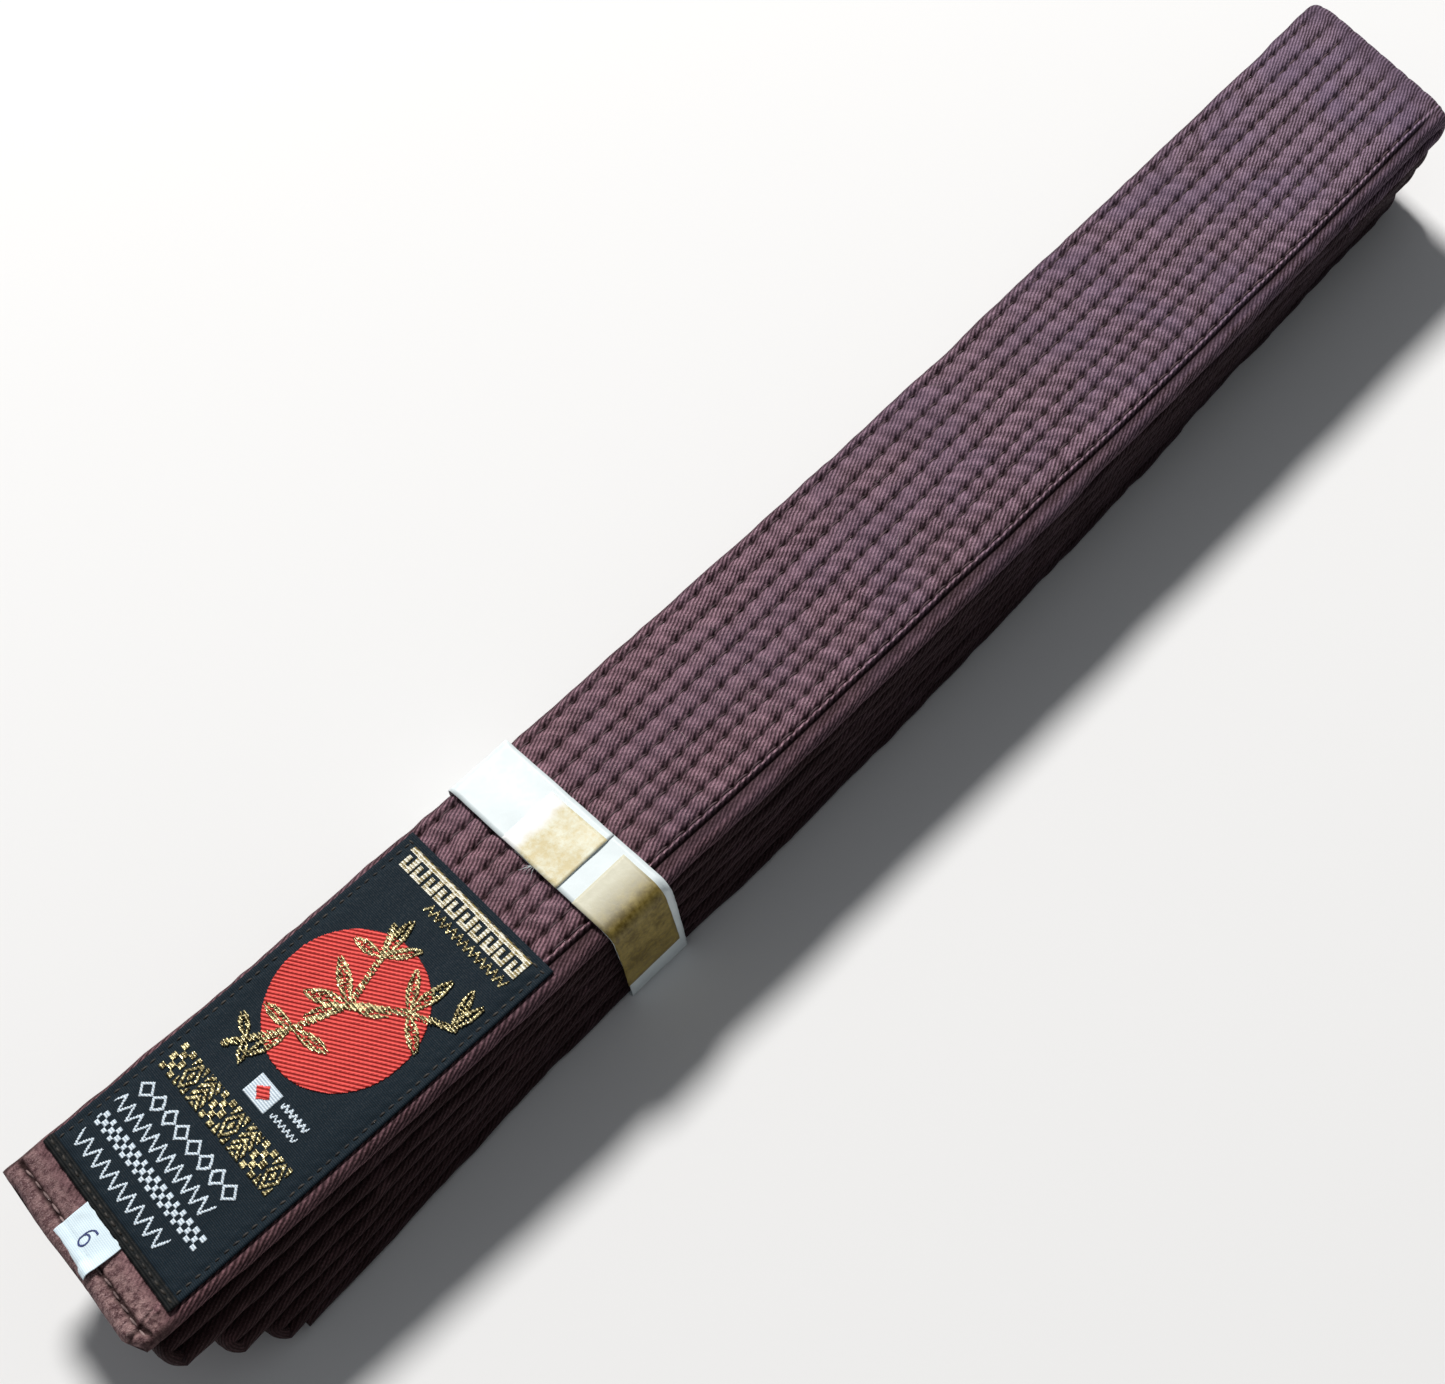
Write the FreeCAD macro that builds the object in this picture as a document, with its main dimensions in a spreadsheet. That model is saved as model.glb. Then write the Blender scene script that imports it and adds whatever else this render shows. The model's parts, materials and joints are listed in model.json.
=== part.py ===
"""Folded martial arts belt: eight legs of a quilted cotton strap, one on another, in a paper band.

+X runs along the belt from the label end to the far folds, +Y across it and +Z up.
The origin is the centre of the bottom of the bounding box.  Millimetres.
"""

import FreeCAD, Part

import math
import os

import Sketcher
from FreeCAD import Placement, Rotation, Vector

DIMENSIONS = {
    # strap
    "belt_width": 40.0,
    "belt_thick": 2.8,
    "edge_radius": 1.0,
    "cover_thick": 0.4,
    "ply_thick": 0.64,
    "ply_gap": 0.02,
    "ply_side_gap": 0.1,
    # folded stack
    "leg_count": 8,
    "leg_gap": 0.35,
    "floor_gap": 0.3,
    "worn_flat": 0.05,
    "fold_len": 341.0,
    "bow": 2.6,
    "hinge_x": 92.8,
    "hinge_gap": 0.3,
    # quilting
    "row_pitch": 4.2,
    "row_count": 8,
    "first_row": 8.1,
    "seam_row": 4.9,
    "thread_wide": 0.5,
    "thread_high": 0.15,
    # hems
    "hem_long": 8.0,
    "hem_row": 2.6,
    "hem_row_inset": 1.5,
    # label
    "label_x": 7.5,
    "label_y": -18.1,
    "label_long": 76.9,
    "label_wide": 36.7,
    "label_thick": 0.4,
    "turned_long": 2.0,
    "turned_thick": 0.3,
    "disc_x": 56.3,
    "disc_y": 1.4,
    "disc_radius": 14.2,
    "disc_thick": 0.12,
    "weft_thick": 0.08,
    "leaf_long": 6.5,
    "leaf_wide": 2.2,
    "stem_long": 6.0,
    "stem_wide": 1.3,
    "title_x": 78.9,
    "title_long": 4.0,
    "subtitle_x": 76.5,
    "subtitle_long": 1.8,
    "second_row_x": 28.2,
    "second_row_long": 5.8,
    "label_text_y": -14.4,
    "label_text_wide": 30.4,
    "patch_x": 36.0,
    "patch_y": -3.2,
    "patch_long": 4.2,
    "patch_wide": 5.7,
    "label_seam_inset": 1.3,
    # size tag
    "tag_x": 0.6,
    "tag_y": 0.3,
    "tag_long": 6.5,
    "tag_wide": 10.0,
    "tag_thick": 0.25,
    "tag_lift": 0.2,
    "numeral_long": 4.4,
    "numeral_wide": 2.8,
    "numeral_stroke": 0.7,
    # paper band
    "band_x": 94.2,
    "band_long": 13.0,
    "paper_thick": 0.2,
    "band_right": 21.9,
    "band_left": 21.4,
    "band_top_gap": 0.45,
    "band_radius": 1.6,
    "lap_edge": -7.5,
    "lap_start": 12.0,
    "lap_gap": 0.02,
    "tape_thick": 0.08,
    "tape_margin": 1.3,
    "tape_wide": 14.0,
    "side_tape_start": -11.0,
    "side_tape_drop": 12.0,
}

# Sideways place of each leg, top leg first: at the label end, where the lower legs fan out,
# and at the far end.
NEAR_FAN = [0.0, -1.5, -3.2, -4.8, -5.8, -6.6, -7.2, -7.5]
FAR_FAN = [0.0, -0.3, -0.3, 0.1, 0.4, 0.7, 0.9, 1.0]
# Outermost point of each fold, from the top: far and near folds take turns.
FOLD_X = [341.0, 0.8, 338.0, 8.0, 339.5, 14.0, 337.0]
PLAIN_END_X = 10.0
FAN_START_X = 90.0
FAN_POWER = 1.3
LEG_STATIONS = [0, 15, 30, 50, 70, 90, 93, 130, 170, 210, 250, 290, 320]
FOLD_STEPS = 6

doc = FreeCAD.newDocument("martial_arts_belt")


def make_sheet():
    """The driving dimensions, one alias each."""
    sheet = doc.addObject("Spreadsheet::Sheet", "sheet")
    for row, (alias, value) in enumerate(DIMENSIONS.items(), start=1):
        sheet.set("A%d" % row, alias)
        sheet.set("B%d" % row, str(value))
        sheet.setAlias("B%d" % row, alias)
    doc.recompute()
    return sheet


sheet = make_sheet()


def size(alias):
    return float(sheet.get(alias))


WIDTH = size("belt_width")
THICK = size("belt_thick")
PITCH = THICK + size("leg_gap")
LEGS = int(size("leg_count"))
TOP_Z = size("floor_gap") + LEGS * PITCH - size("leg_gap")
HINGE_X = size("hinge_x")
FIXED_START_X = HINGE_X + size("hinge_gap")
LABEL_END_SLOPE = -4 * size("bow") / size("fold_len") * (1 - HINGE_X / size("fold_len"))
LABEL_END_ANGLE = math.degrees(math.atan(LABEL_END_SLOPE))
parts = {}


# ---- the folded strap: its centre line and the solids that follow it ----

def bow_y(x):
    """Sideways place of the top leg's centre line: straight to the hinge, then a shallow curve."""
    share = x / size("fold_len")
    if x < FIXED_START_X:
        return LABEL_END_SLOPE * x
    return -4 * size("bow") * share * (1 - share)


def leg_y(leg, x):
    """Sideways place of a leg, counted from 0 at the top, at x."""
    near = max(0.0, 1 - x / FAN_START_X) ** FAN_POWER
    far = max(0.0, (x - FAN_START_X) / (size("fold_len") - FAN_START_X))
    return bow_y(x) + NEAR_FAN[leg] * near + FAR_FAN[leg] * far


def leg_along(leg, x):
    """Unit vector along a leg at x, in plan."""
    if leg == 0 and x <= FIXED_START_X:
        return Vector(1, LABEL_END_SLOPE, 0).normalize()
    return Vector(1, leg_y(leg, x + 0.5) - leg_y(leg, x - 0.5), 0).normalize()


def leg_z(leg):
    return TOP_Z - THICK / 2 - leg * PITCH


def leg_ends(leg, start_x, end_x):
    """Where a leg starts and ends along x, in the order in which the strap runs through it."""
    inset = PITCH / 2 + THICK / 2
    way = 1 if leg % 2 == 0 else -1
    start = start_x if leg == 0 else FOLD_X[leg - 1] + way * inset
    end = end_x if leg == LEGS - 1 else FOLD_X[leg] - way * inset
    return start, end


def centre_line(start_x=FIXED_START_X, end_x=PLAIN_END_X, legs=LEGS):
    """Stations along the strap: (centre point, across, up), from the top leg down."""
    stations = []
    for leg in range(legs):
        way = 1 if leg % 2 == 0 else -1
        start, end = leg_ends(leg, start_x, end_x)
        between = [x for x in LEG_STATIONS if min(start, end) + 2 < x < max(start, end) - 2]
        for x in [start] + sorted(between, reverse=way < 0) + [end]:
            point = Vector(x, leg_y(leg, x), leg_z(leg))
            along = leg_along(leg, x)
            stations.append((point, Vector(-along.y, along.x, 0), Vector(0, 0, way)))
        if leg < legs - 1:
            stations += fold(leg, end, way)
    return stations


def fold(leg, end, way):
    """Stations round the half turn from one leg to the next."""
    middle_z = (leg_z(leg) + leg_z(leg + 1)) / 2
    stations = []
    for step in range(1, FOLD_STEPS):
        share = step / FOLD_STEPS
        turn = math.pi * share
        along = leg_along(leg, end) * (1 - share) + leg_along(leg + 1, end) * share
        along.normalize()
        y = leg_y(leg, end) * (1 - share) + leg_y(leg + 1, end) * share
        point = Vector(end, y, middle_z + PITCH / 2 * math.cos(turn))
        point += along * (way * PITCH / 2 * math.sin(turn))
        up = along * math.sin(turn) + Vector(0, 0, way * math.cos(turn))
        stations.append((point, Vector(-along.y, along.x, 0), up))
    return stations


def section(station, half_wide, low, high, y_mid, radius):
    """Closed outline across the strap at a station, from low to high above its middle."""
    point, across, up = station

    def at(y, height):
        return point + across * (y_mid + y) + up * height

    y, r = half_wide, radius
    if r == 0:
        corners = [at(-y, low), at(y, low), at(y, high), at(-y, high)]
        return Part.makePolygon(corners + [corners[0]])
    d = r * (1 - math.sqrt(0.5))
    return Part.Wire([
        Part.LineSegment(at(-y + r, low), at(y - r, low)).toShape(),
        Part.Arc(at(y - r, low), at(y - d, low + d), at(y, low + r)).toShape(),
        Part.LineSegment(at(y, low + r), at(y, high - r)).toShape(),
        Part.Arc(at(y, high - r), at(y - d, high - d), at(y - r, high)).toShape(),
        Part.LineSegment(at(y - r, high), at(-y + r, high)).toShape(),
        Part.Arc(at(-y + r, high), at(-y + d, high - d), at(-y, high - r)).toShape(),
        Part.LineSegment(at(-y, high - r), at(-y, low + r)).toShape(),
        Part.Arc(at(-y, low + r), at(-y + d, low + d), at(-y + r, low)).toShape(),
    ])


def along_strap(stations, half_wide, low, high, y_mid=0, radius=0):
    """Solid of one cross section carried through the stations."""
    wires = [section(station, half_wide, low, high, y_mid, radius) for station in stations]
    return Part.makeLoft(wires, True, True)


def shaped(label, shape):
    """A sub-part whose shape no sketch or primitive gives."""
    feature = doc.addObject("Part::Feature", label)
    feature.Label = label
    feature.Shape = shape
    feature.Placement = Placement()
    parts[label] = feature
    return feature


# ---- sketches, pads and boxes bound to the sheet ----

# Expressions for the heights of the top face: over the floor, and over the middle of the strap.
STACK_TOP = "(sheet.floor_gap + sheet.leg_count * (sheet.belt_thick + sheet.leg_gap) - sheet.leg_gap)"
FACE = "sheet.belt_thick / 2"
LABEL_FACE = FACE + " + sheet.label_thick"
INNER_WIDE = "(sheet.belt_width - 2 * sheet.cover_thick - 2 * sheet.ply_side_gap)"


def new_body(label):
    body = doc.addObject("PartDesign::Body", label)
    body.Label = label
    parts[label] = body
    return body


def new_sketch(body, role, offset="0"):
    """Sketch on one of the body's own planes, moved out along its normal."""
    sketch = body.newObject("Sketcher::SketchObject", body.Name + "_sketch")
    plane = [feature for feature in body.Origin.OriginFeatures if feature.Role == role][0]
    sketch.AttachmentSupport = [(plane, "")]
    sketch.MapMode = "FlatFace"
    sketch.setExpression("AttachmentOffset.Base.z", offset)
    return sketch


def bind(sketch, kind, first, second, value, expression):
    """Constraint whose value follows an expression."""
    index = sketch.addConstraint(Sketcher.Constraint(kind, *first, *second, value))
    sketch.setExpression("Constraints[%d]" % index, expression)


def add_outline(sketch, corners):
    """Closed outline through corners given as pairs of expressions."""
    count = len(corners)
    first = sketch.GeometryCount
    ring = [Vector(math.cos(2 * math.pi * i / count), math.sin(2 * math.pi * i / count))
            for i in range(count)]
    for i in range(count):
        sketch.addGeometry(Part.LineSegment(ring[i], ring[(i + 1) % count]), False)
    for i in range(count):
        following = first + (i + 1) % count
        sketch.addConstraint(Sketcher.Constraint("Coincident", first + i, 2, following, 1))
    for i, (x, y) in enumerate(corners):
        bind(sketch, "DistanceX", (-1, 1), (first + i, 1), ring[i].x, x)
        bind(sketch, "DistanceY", (-1, 1), (first + i, 1), ring[i].y, y)


def rectangle(x, y, length, width):
    """Corners of a rectangle, from the expressions of its lower corner and sizes."""
    far_x = "%s + %s" % (x, length)
    far_y = "%s + %s" % (y, width)
    return [(x, y), (far_x, y), (far_x, far_y), (x, far_y)]


def add_pad(body, sketch, length):
    pad = body.newObject("PartDesign::Pad", body.Name + "_pad")
    pad.Profile = sketch
    pad.setExpression("Length", length)
    doc.recompute()


def flat_piece(label, height, thick, outlines):
    """Thin piece lying flat: outlines padded up from a height over the strap's middle."""
    body = new_body(label)
    sketch = new_sketch(body, "XY_Plane", height)
    for corners in outlines:
        add_outline(sketch, corners)
    add_pad(body, sketch, thick)


def new_box(name, x, y, z, length, width, height):
    """Box whose corner and sizes follow expressions."""
    box = doc.addObject("Part::Box", name)
    wanted = {"Placement.Base.x": x, "Placement.Base.y": y, "Placement.Base.z": z,
              "Length": length, "Width": width, "Height": height}
    for target, value in wanted.items():
        box.setExpression(target, str(value))
    return box


def group(label, members):
    """One sub-part made of separate solids."""
    compound = doc.addObject("Part::Compound", label)
    compound.Label = label
    compound.Links = members
    parts[label] = compound


# ---- the belt: everything from the hinge line to the plain end ----

def make_cover():
    """Twill cover: a hollow flat tube that follows the folds from the hinge to the plain end.

    The lowest leg is pressed flat where the belt lies on it.
    """
    half_wide, half_thick = WIDTH / 2, THICK / 2
    skin = size("cover_thick")
    radius = size("edge_radius")
    outer = along_strap(centre_line(), half_wide, -half_thick, half_thick, radius=radius)
    longer = centre_line(FIXED_START_X - 1, PLAIN_END_X - 1)
    hollow = along_strap(longer, half_wide - skin, skin - half_thick, half_thick - skin)
    below = Part.makeBox(size("fold_len") + 20, 4 * WIDTH, size("floor_gap"),
                         Vector(-10, -2 * WIDTH, size("worn_flat")))
    shaped("cover", outer.cut(hollow).cut(below))


def ply_heights():
    """Low and high side of each core ply, from the strap's middle, the top ply first."""
    step = size("ply_thick") + size("ply_gap")
    top = THICK / 2 - size("cover_thick") - size("ply_gap") / 2
    return {name: (top - i * step - size("ply_thick"), top - i * step)
            for i, name in enumerate(["top", "middle", "bottom"])}


def make_core():
    """Three plies of cotton that fill the cover, up to the hem of the plain end."""
    half_wide = WIDTH / 2 - size("cover_thick") - size("ply_side_gap")
    stations = centre_line(end_x=PLAIN_END_X + size("hem_long") + 1)
    for name, (low, high) in ply_heights().items():
        shaped("core_ply_" + name, along_strap(stations, half_wide, low, high))


def quilting_rows():
    """Sideways places of the quilting rows, from the lap seam outwards."""
    first = size("first_row") - WIDTH / 2
    return [first + i * size("row_pitch") for i in range(int(size("row_count")))]


def make_quilting():
    """Thread of the quilting rows and of the lap seam, along the top face of the top leg."""
    stations = centre_line(legs=1)
    low, high = THICK / 2, THICK / 2 + size("thread_high")
    half = size("thread_wide") / 2
    rows = [along_strap(stations, half, low, high, y_mid=y) for y in quilting_rows()]
    shaped("quilting_thread", Part.makeCompound(rows))
    seam = size("seam_row") - WIDTH / 2
    shaped("seam_thread", along_strap(stations, half, low, high, y_mid=seam))


def make_hem(label):
    """Cover turned in at an end: an end wall and a tongue under each face, towards +x."""
    y = "-%s / 2" % INNER_WIDE
    skin = "sheet.cover_thick"
    low = "-sheet.belt_thick / 2 + sheet.cover_thick + sheet.ply_gap"
    high = "sheet.belt_thick / 2 - 2 * sheet.cover_thick - sheet.ply_gap"
    inner_high = "sheet.belt_thick - 2 * sheet.cover_thick - 2 * sheet.ply_gap"
    hem = doc.addObject("Part::MultiFuse", label)
    hem.Label = label
    hem.Shapes = [
        new_box(label + "_wall", 0, y, low, skin, INNER_WIDE, inner_high),
        new_box(label + "_lower", 0, y, low, "sheet.hem_long", INNER_WIDE, skin),
        new_box(label + "_upper", 0, y, high, "sheet.hem_long", INNER_WIDE, skin),
    ]
    parts[label] = hem


def make_hem_thread(label):
    """Row of stitches across an end, on the upper face."""
    group(label, [new_box(label + "_row", "sheet.hem_row",
                          "-sheet.belt_width / 2 + sheet.hem_row_inset", FACE,
                          "sheet.thread_wide", "sheet.belt_width - 2 * sheet.hem_row_inset",
                          "sheet.thread_high")])


# ---- the label end: the free end of the top leg, built along its own x axis ----

def make_label_end_cover():
    """Hollow flat tube with rounded edges."""
    outer = new_box("label_end_outer", 0, "-sheet.belt_width / 2", "-sheet.belt_thick / 2",
                    "sheet.hinge_x", "sheet.belt_width", "sheet.belt_thick")
    doc.recompute()
    long_edges = [i for i, edge in enumerate(outer.Shape.Edges, start=1)
                  if edge.BoundBox.XLength > HINGE_X / 2]
    radius = size("edge_radius")
    rounded = doc.addObject("Part::Fillet", "label_end_rounded")
    rounded.Base = outer
    rounded.Edges = [(i, radius, radius) for i in long_edges]
    hollow = new_box("label_end_hollow", -1, "-sheet.belt_width / 2 + sheet.cover_thick",
                     "-sheet.belt_thick / 2 + sheet.cover_thick", "sheet.hinge_x + 2",
                     "sheet.belt_width - 2 * sheet.cover_thick",
                     "sheet.belt_thick - 2 * sheet.cover_thick")
    cover = doc.addObject("Part::Cut", "label_end_cover")
    cover.Label = "label_end_cover"
    cover.Base = rounded
    cover.Tool = hollow
    parts["label_end_cover"] = cover


def make_label_end_core():
    """The three plies, from the hem to the hinge line."""
    for name, (low, high) in ply_heights().items():
        label = "label_end_core_ply_" + name
        group(label, [new_box(label + "_sheet", "sheet.hem_long + 1", "-%s / 2" % INNER_WIDE,
                              low, "sheet.hinge_x - sheet.hem_long - 1", INNER_WIDE,
                              "sheet.ply_thick")])


def make_label_end_quilting():
    """Quilting rows and lap seam row between the label and the hinge line."""
    start = "sheet.label_x + sheet.label_long + 0.5"
    length = "sheet.hinge_x - sheet.label_x - sheet.label_long - 0.5"

    def row(name, y):
        return new_box(name, start, "%g - sheet.thread_wide / 2" % y, FACE, length,
                       "sheet.thread_wide", "sheet.thread_high")

    group("label_end_quilting_thread",
          [row("label_end_row_%d" % i, y) for i, y in enumerate(quilting_rows())])
    group("label_end_seam_thread", [row("label_end_seam_row", size("seam_row") - WIDTH / 2)])


# ---- the woven label and the size tag, on the label end ----

def make_label():
    """Satin ground, its turned near edge and the stitches that hold it."""
    flat_piece("label_ground", FACE, "sheet.label_thick", [
        rectangle("sheet.label_x", "sheet.label_y", "sheet.label_long", "sheet.label_wide")])
    flat_piece("label_turned_edge", LABEL_FACE, "sheet.turned_thick", [
        rectangle("sheet.label_x", "sheet.label_y", "sheet.turned_long", "sheet.label_wide")])
    near = "sheet.label_x + sheet.turned_long + 0.2"
    far = "sheet.label_x + sheet.label_long - sheet.label_seam_inset"
    right = "sheet.label_y + sheet.label_seam_inset"
    left = "sheet.label_y + sheet.label_wide - sheet.label_seam_inset"
    wide = "0.8 * sheet.thread_wide"
    across = "sheet.label_wide - 2 * sheet.label_seam_inset"
    along = "sheet.label_long - sheet.turned_long - sheet.label_seam_inset - 0.2"
    group("label_thread", [
        new_box("label_seam_near", "sheet.label_x + sheet.turned_long / 2", right,
                LABEL_FACE + " + sheet.turned_thick", wide, across, "sheet.thread_high"),
        new_box("label_seam_far", far, right, LABEL_FACE, wide, across, "sheet.thread_high"),
        new_box("label_seam_right", near, right + " - 0.5", LABEL_FACE, along, wide,
                "sheet.thread_high"),
        new_box("label_seam_left", near, left + " + 0.1", LABEL_FACE, along, wide,
                "sheet.thread_high"),
    ])


def make_label_rows():
    """Woven rows of plain blocks: a tall gold row, a gold second row and four white rows."""
    weft = "sheet.weft_thick"

    def blocks(name, x, length, start, count, pitch, fill):
        """Blocks in a row across the label, each filling a share of its pitch."""
        return [new_box("%s_%d" % (name, i), x, start + i * pitch, LABEL_FACE, length,
                        pitch * fill, weft) for i in range(count)]

    start, wide = size("label_text_y"), size("label_text_wide")
    group("label_title_row",
          blocks("title", "sheet.title_x", "sheet.title_long", start, 10, wide / 10, 0.72)
          + blocks("subtitle", "sheet.subtitle_x", "sheet.subtitle_long", start, 14,
                   wide * 0.66 / 14, 0.6))
    group("label_second_row",
          blocks("second", "sheet.second_row_x", "sheet.second_row_long", start, 8, wide / 8, 0.7))
    white = []
    for i, (x, length) in enumerate([(10.9, 2.8), (15.1, 2.8), (19.1, 2.8), (23.0, 3.4)]):
        white += blocks("white_%d" % i, x, length, start + i % 2, 7, (wide - 1) / 7, 0.82)
    group("label_white_rows", white)
    flat_piece("label_patch", LABEL_FACE, weft, [
        rectangle("sheet.patch_x", "sheet.patch_y", "sheet.patch_long", "sheet.patch_wide")])


def make_label_disc():
    """Ribbed disc, padded from a circle."""
    body = new_body("label_disc")
    sketch = new_sketch(body, "XY_Plane", LABEL_FACE)
    circle = sketch.addGeometry(Part.Circle(Vector(0, 0, 0), Vector(0, 0, 1), 5), False)
    bind(sketch, "DistanceX", (-1, 1), (circle, 3), 0, "sheet.disc_x")
    bind(sketch, "DistanceY", (-1, 1), (circle, 3), 0, "sheet.disc_y")
    bind(sketch, "Radius", (circle,), (), 5, "sheet.disc_radius")
    add_pad(body, sketch, "sheet.disc_thick")


def make_label_emblem():
    """Plain spray on the disc: a jointed stem with a leaf on each side of every joint."""
    lift = LABEL_FACE + " + sheet.disc_thick"
    lean = 35
    turn = Rotation(Vector(0, 0, 1), lean)
    middle = Vector(size("disc_x"), size("disc_y"), 0)
    members = []
    for i in (-1, 0, 1):
        joint = middle + turn.multVec(Vector(i * (size("stem_long") + 0.6), 0, 0))
        stem = doc.addObject("Part::Box", "stem_%d" % (i + 1))
        stem.setExpression("Length", "sheet.stem_long")
        stem.setExpression("Width", "sheet.stem_wide")
        stem.setExpression("Height", "sheet.weft_thick")
        corner = joint - turn.multVec(Vector(size("stem_long") / 2, size("stem_wide") / 2, 0))
        stem.Placement = Placement(corner, turn)
        stem.setExpression("Placement.Base.z", lift)
        members.append(stem)
        for side in (-1, 1):
            reach = size("leaf_long") / 2 + size("stem_wide") / 2 + 0.6
            angle = lean + side * 62
            out = Rotation(Vector(0, 0, 1), angle).multVec(Vector(reach, 0, 0))
            outline = doc.addObject("Part::Ellipse", "leaf_outline_%d_%d" % (i + 1, side + 1))
            outline.setExpression("MajorRadius", "sheet.leaf_long / 2")
            outline.setExpression("MinorRadius", "sheet.leaf_wide / 2")
            outline.Placement = Placement(joint + out, Rotation(Vector(0, 0, 1), angle))
            outline.setExpression("Placement.Base.z", lift)
            leaf = doc.addObject("Part::Extrusion", "leaf_%d_%d" % (i + 1, side + 1))
            leaf.Base = outline
            leaf.DirMode = "Custom"
            leaf.Dir = Vector(0, 0, 1)
            leaf.Solid = True
            leaf.setExpression("LengthFwd", "sheet.weft_thick")
            members.append(leaf)
    group("label_emblem", members)


def make_tag():
    """Small woven tag that lies over the end of the belt, and the numeral 6 on it."""
    lift = FACE + " + sheet.tag_lift"
    flat_piece("size_tag", lift, "sheet.tag_thick", [
        rectangle("sheet.tag_x", "sheet.tag_y - sheet.tag_wide / 2", "sheet.tag_long",
                  "sheet.tag_wide")])
    foot = "(sheet.tag_x + (sheet.tag_long - sheet.numeral_long) / 2)"
    right = "(sheet.tag_y - sheet.numeral_wide / 2)"
    left = "(sheet.tag_y + sheet.numeral_wide / 2)"
    stroke = "sheet.numeral_stroke"
    waist = "(%s + 0.6 * sheet.numeral_long)" % foot
    head = "(%s + sheet.numeral_long)" % foot
    outline = [(foot, left), (foot, right), (waist, right),
               (waist, "%s - %s" % (left, stroke)),
               ("%s - %s" % (head, stroke), "%s - %s" % (left, stroke)),
               ("%s - %s" % (head, stroke), right), (head, right), (head, left)]
    eye = [("%s + %s" % (foot, stroke), "%s + %s" % (right, stroke)),
           ("%s - %s" % (waist, stroke), "%s + %s" % (right, stroke)),
           ("%s - %s" % (waist, stroke), "%s - %s" % (left, stroke)),
           ("%s + %s" % (foot, stroke), "%s - %s" % (left, stroke))]
    flat_piece("size_numeral", lift + " + sheet.tag_thick", "sheet.weft_thick", [outline, eye])


# ---- the paper band and its tapes ----

LAYER = STACK_TOP + " + sheet.band_top_gap"
UPPER_LAYER = LAYER + " + sheet.paper_thick + sheet.lap_gap"


def bend(y, z, across, up, radius):
    """Three corners that round a bend, in running order; across and up point to its corner."""
    near = "%.4f * (%s)" % (1 - math.sqrt(0.5), radius)
    flat = ("%s - (%d) * (%s)" % (y, across, radius), z)
    middle = ("%s - (%d) * %s" % (y, across, near), "%s - (%d) * %s" % (z, up, near))
    upright = (y, "%s - (%d) * (%s)" % (z, up, radius))
    return [flat, middle, upright]


def wrapped_piece(label, corners, length):
    """Profile across the belt, padded along it."""
    body = new_body(label)
    sketch = new_sketch(body, "YZ_Plane", "sheet.band_x")
    add_outline(sketch, corners)
    add_pad(body, sketch, length)


def make_band():
    """Paper strip wrapped once round the stack, its upper end lapped over its lower end."""
    paper = "sheet.paper_thick"
    right, left = "-sheet.band_right", "sheet.band_left"
    outside, inside = "sheet.band_radius", "sheet.band_radius - sheet.paper_thick"
    outer_right, outer_left = right + " - " + paper, left + " + " + paper
    outer_top = "%s + %s" % (UPPER_LAYER, paper)
    corners = [("sheet.lap_start", "%s + %s" % (LAYER, paper))]
    corners += bend(outer_right, "%s + %s" % (LAYER, paper), -1, 1, outside)
    corners += bend(outer_right, "0", -1, -1, outside)[::-1]
    corners += bend(outer_left, "0", 1, -1, outside)
    corners += bend(outer_left, outer_top, 1, 1, outside)[::-1]
    corners += [("sheet.lap_edge", outer_top), ("sheet.lap_edge", UPPER_LAYER)]
    corners += bend(left, UPPER_LAYER, 1, 1, inside)
    corners += bend(left, paper, 1, -1, inside)[::-1]
    corners += bend(right, paper, -1, -1, inside)
    corners += bend(right, LAYER, -1, 1, inside)[::-1]
    corners += [("sheet.lap_start", LAYER)]
    wrapped_piece("paper_band", corners, "sheet.band_long")


def make_tapes():
    """Adhesive tape along the lap's edge, and a second piece over the right shoulder."""
    flat_z = UPPER_LAYER + " + sheet.paper_thick"
    flat_piece("tape_top", flat_z, "sheet.tape_thick", [
        rectangle("sheet.band_x", "sheet.lap_edge", "sheet.band_long - sheet.tape_margin",
                  "sheet.tape_wide")])
    top = LAYER + " + sheet.paper_thick"
    side = "-sheet.band_right - sheet.paper_thick"
    thick = "sheet.tape_thick"
    foot = "%s - sheet.side_tape_drop" % top
    outer_top, outer_side = "%s + %s" % (top, thick), "%s - %s" % (side, thick)
    corners = [("sheet.side_tape_start", top), ("sheet.side_tape_start", outer_top)]
    corners += bend(outer_side, outer_top, -1, 1, "sheet.band_radius + " + thick)
    corners += [(outer_side, foot), (side, foot)]
    corners += bend(side, top, -1, 1, "sheet.band_radius")[::-1]
    wrapped_piece("tape_side", corners, "sheet.band_long - sheet.tape_margin")


make_cover()
make_core()
make_quilting()
make_hem("plain_end_hem")
make_hem_thread("plain_end_hem_thread")
make_label_end_cover()
make_label_end_core()
make_label_end_quilting()
make_hem("label_end_hem")
make_hem_thread("label_end_hem_thread")
make_label()
make_label_rows()
make_label_disc()
make_label_emblem()
make_tag()
make_band()
make_tapes()
doc.recompute()


# ---- placing, checking and writing ----

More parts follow.
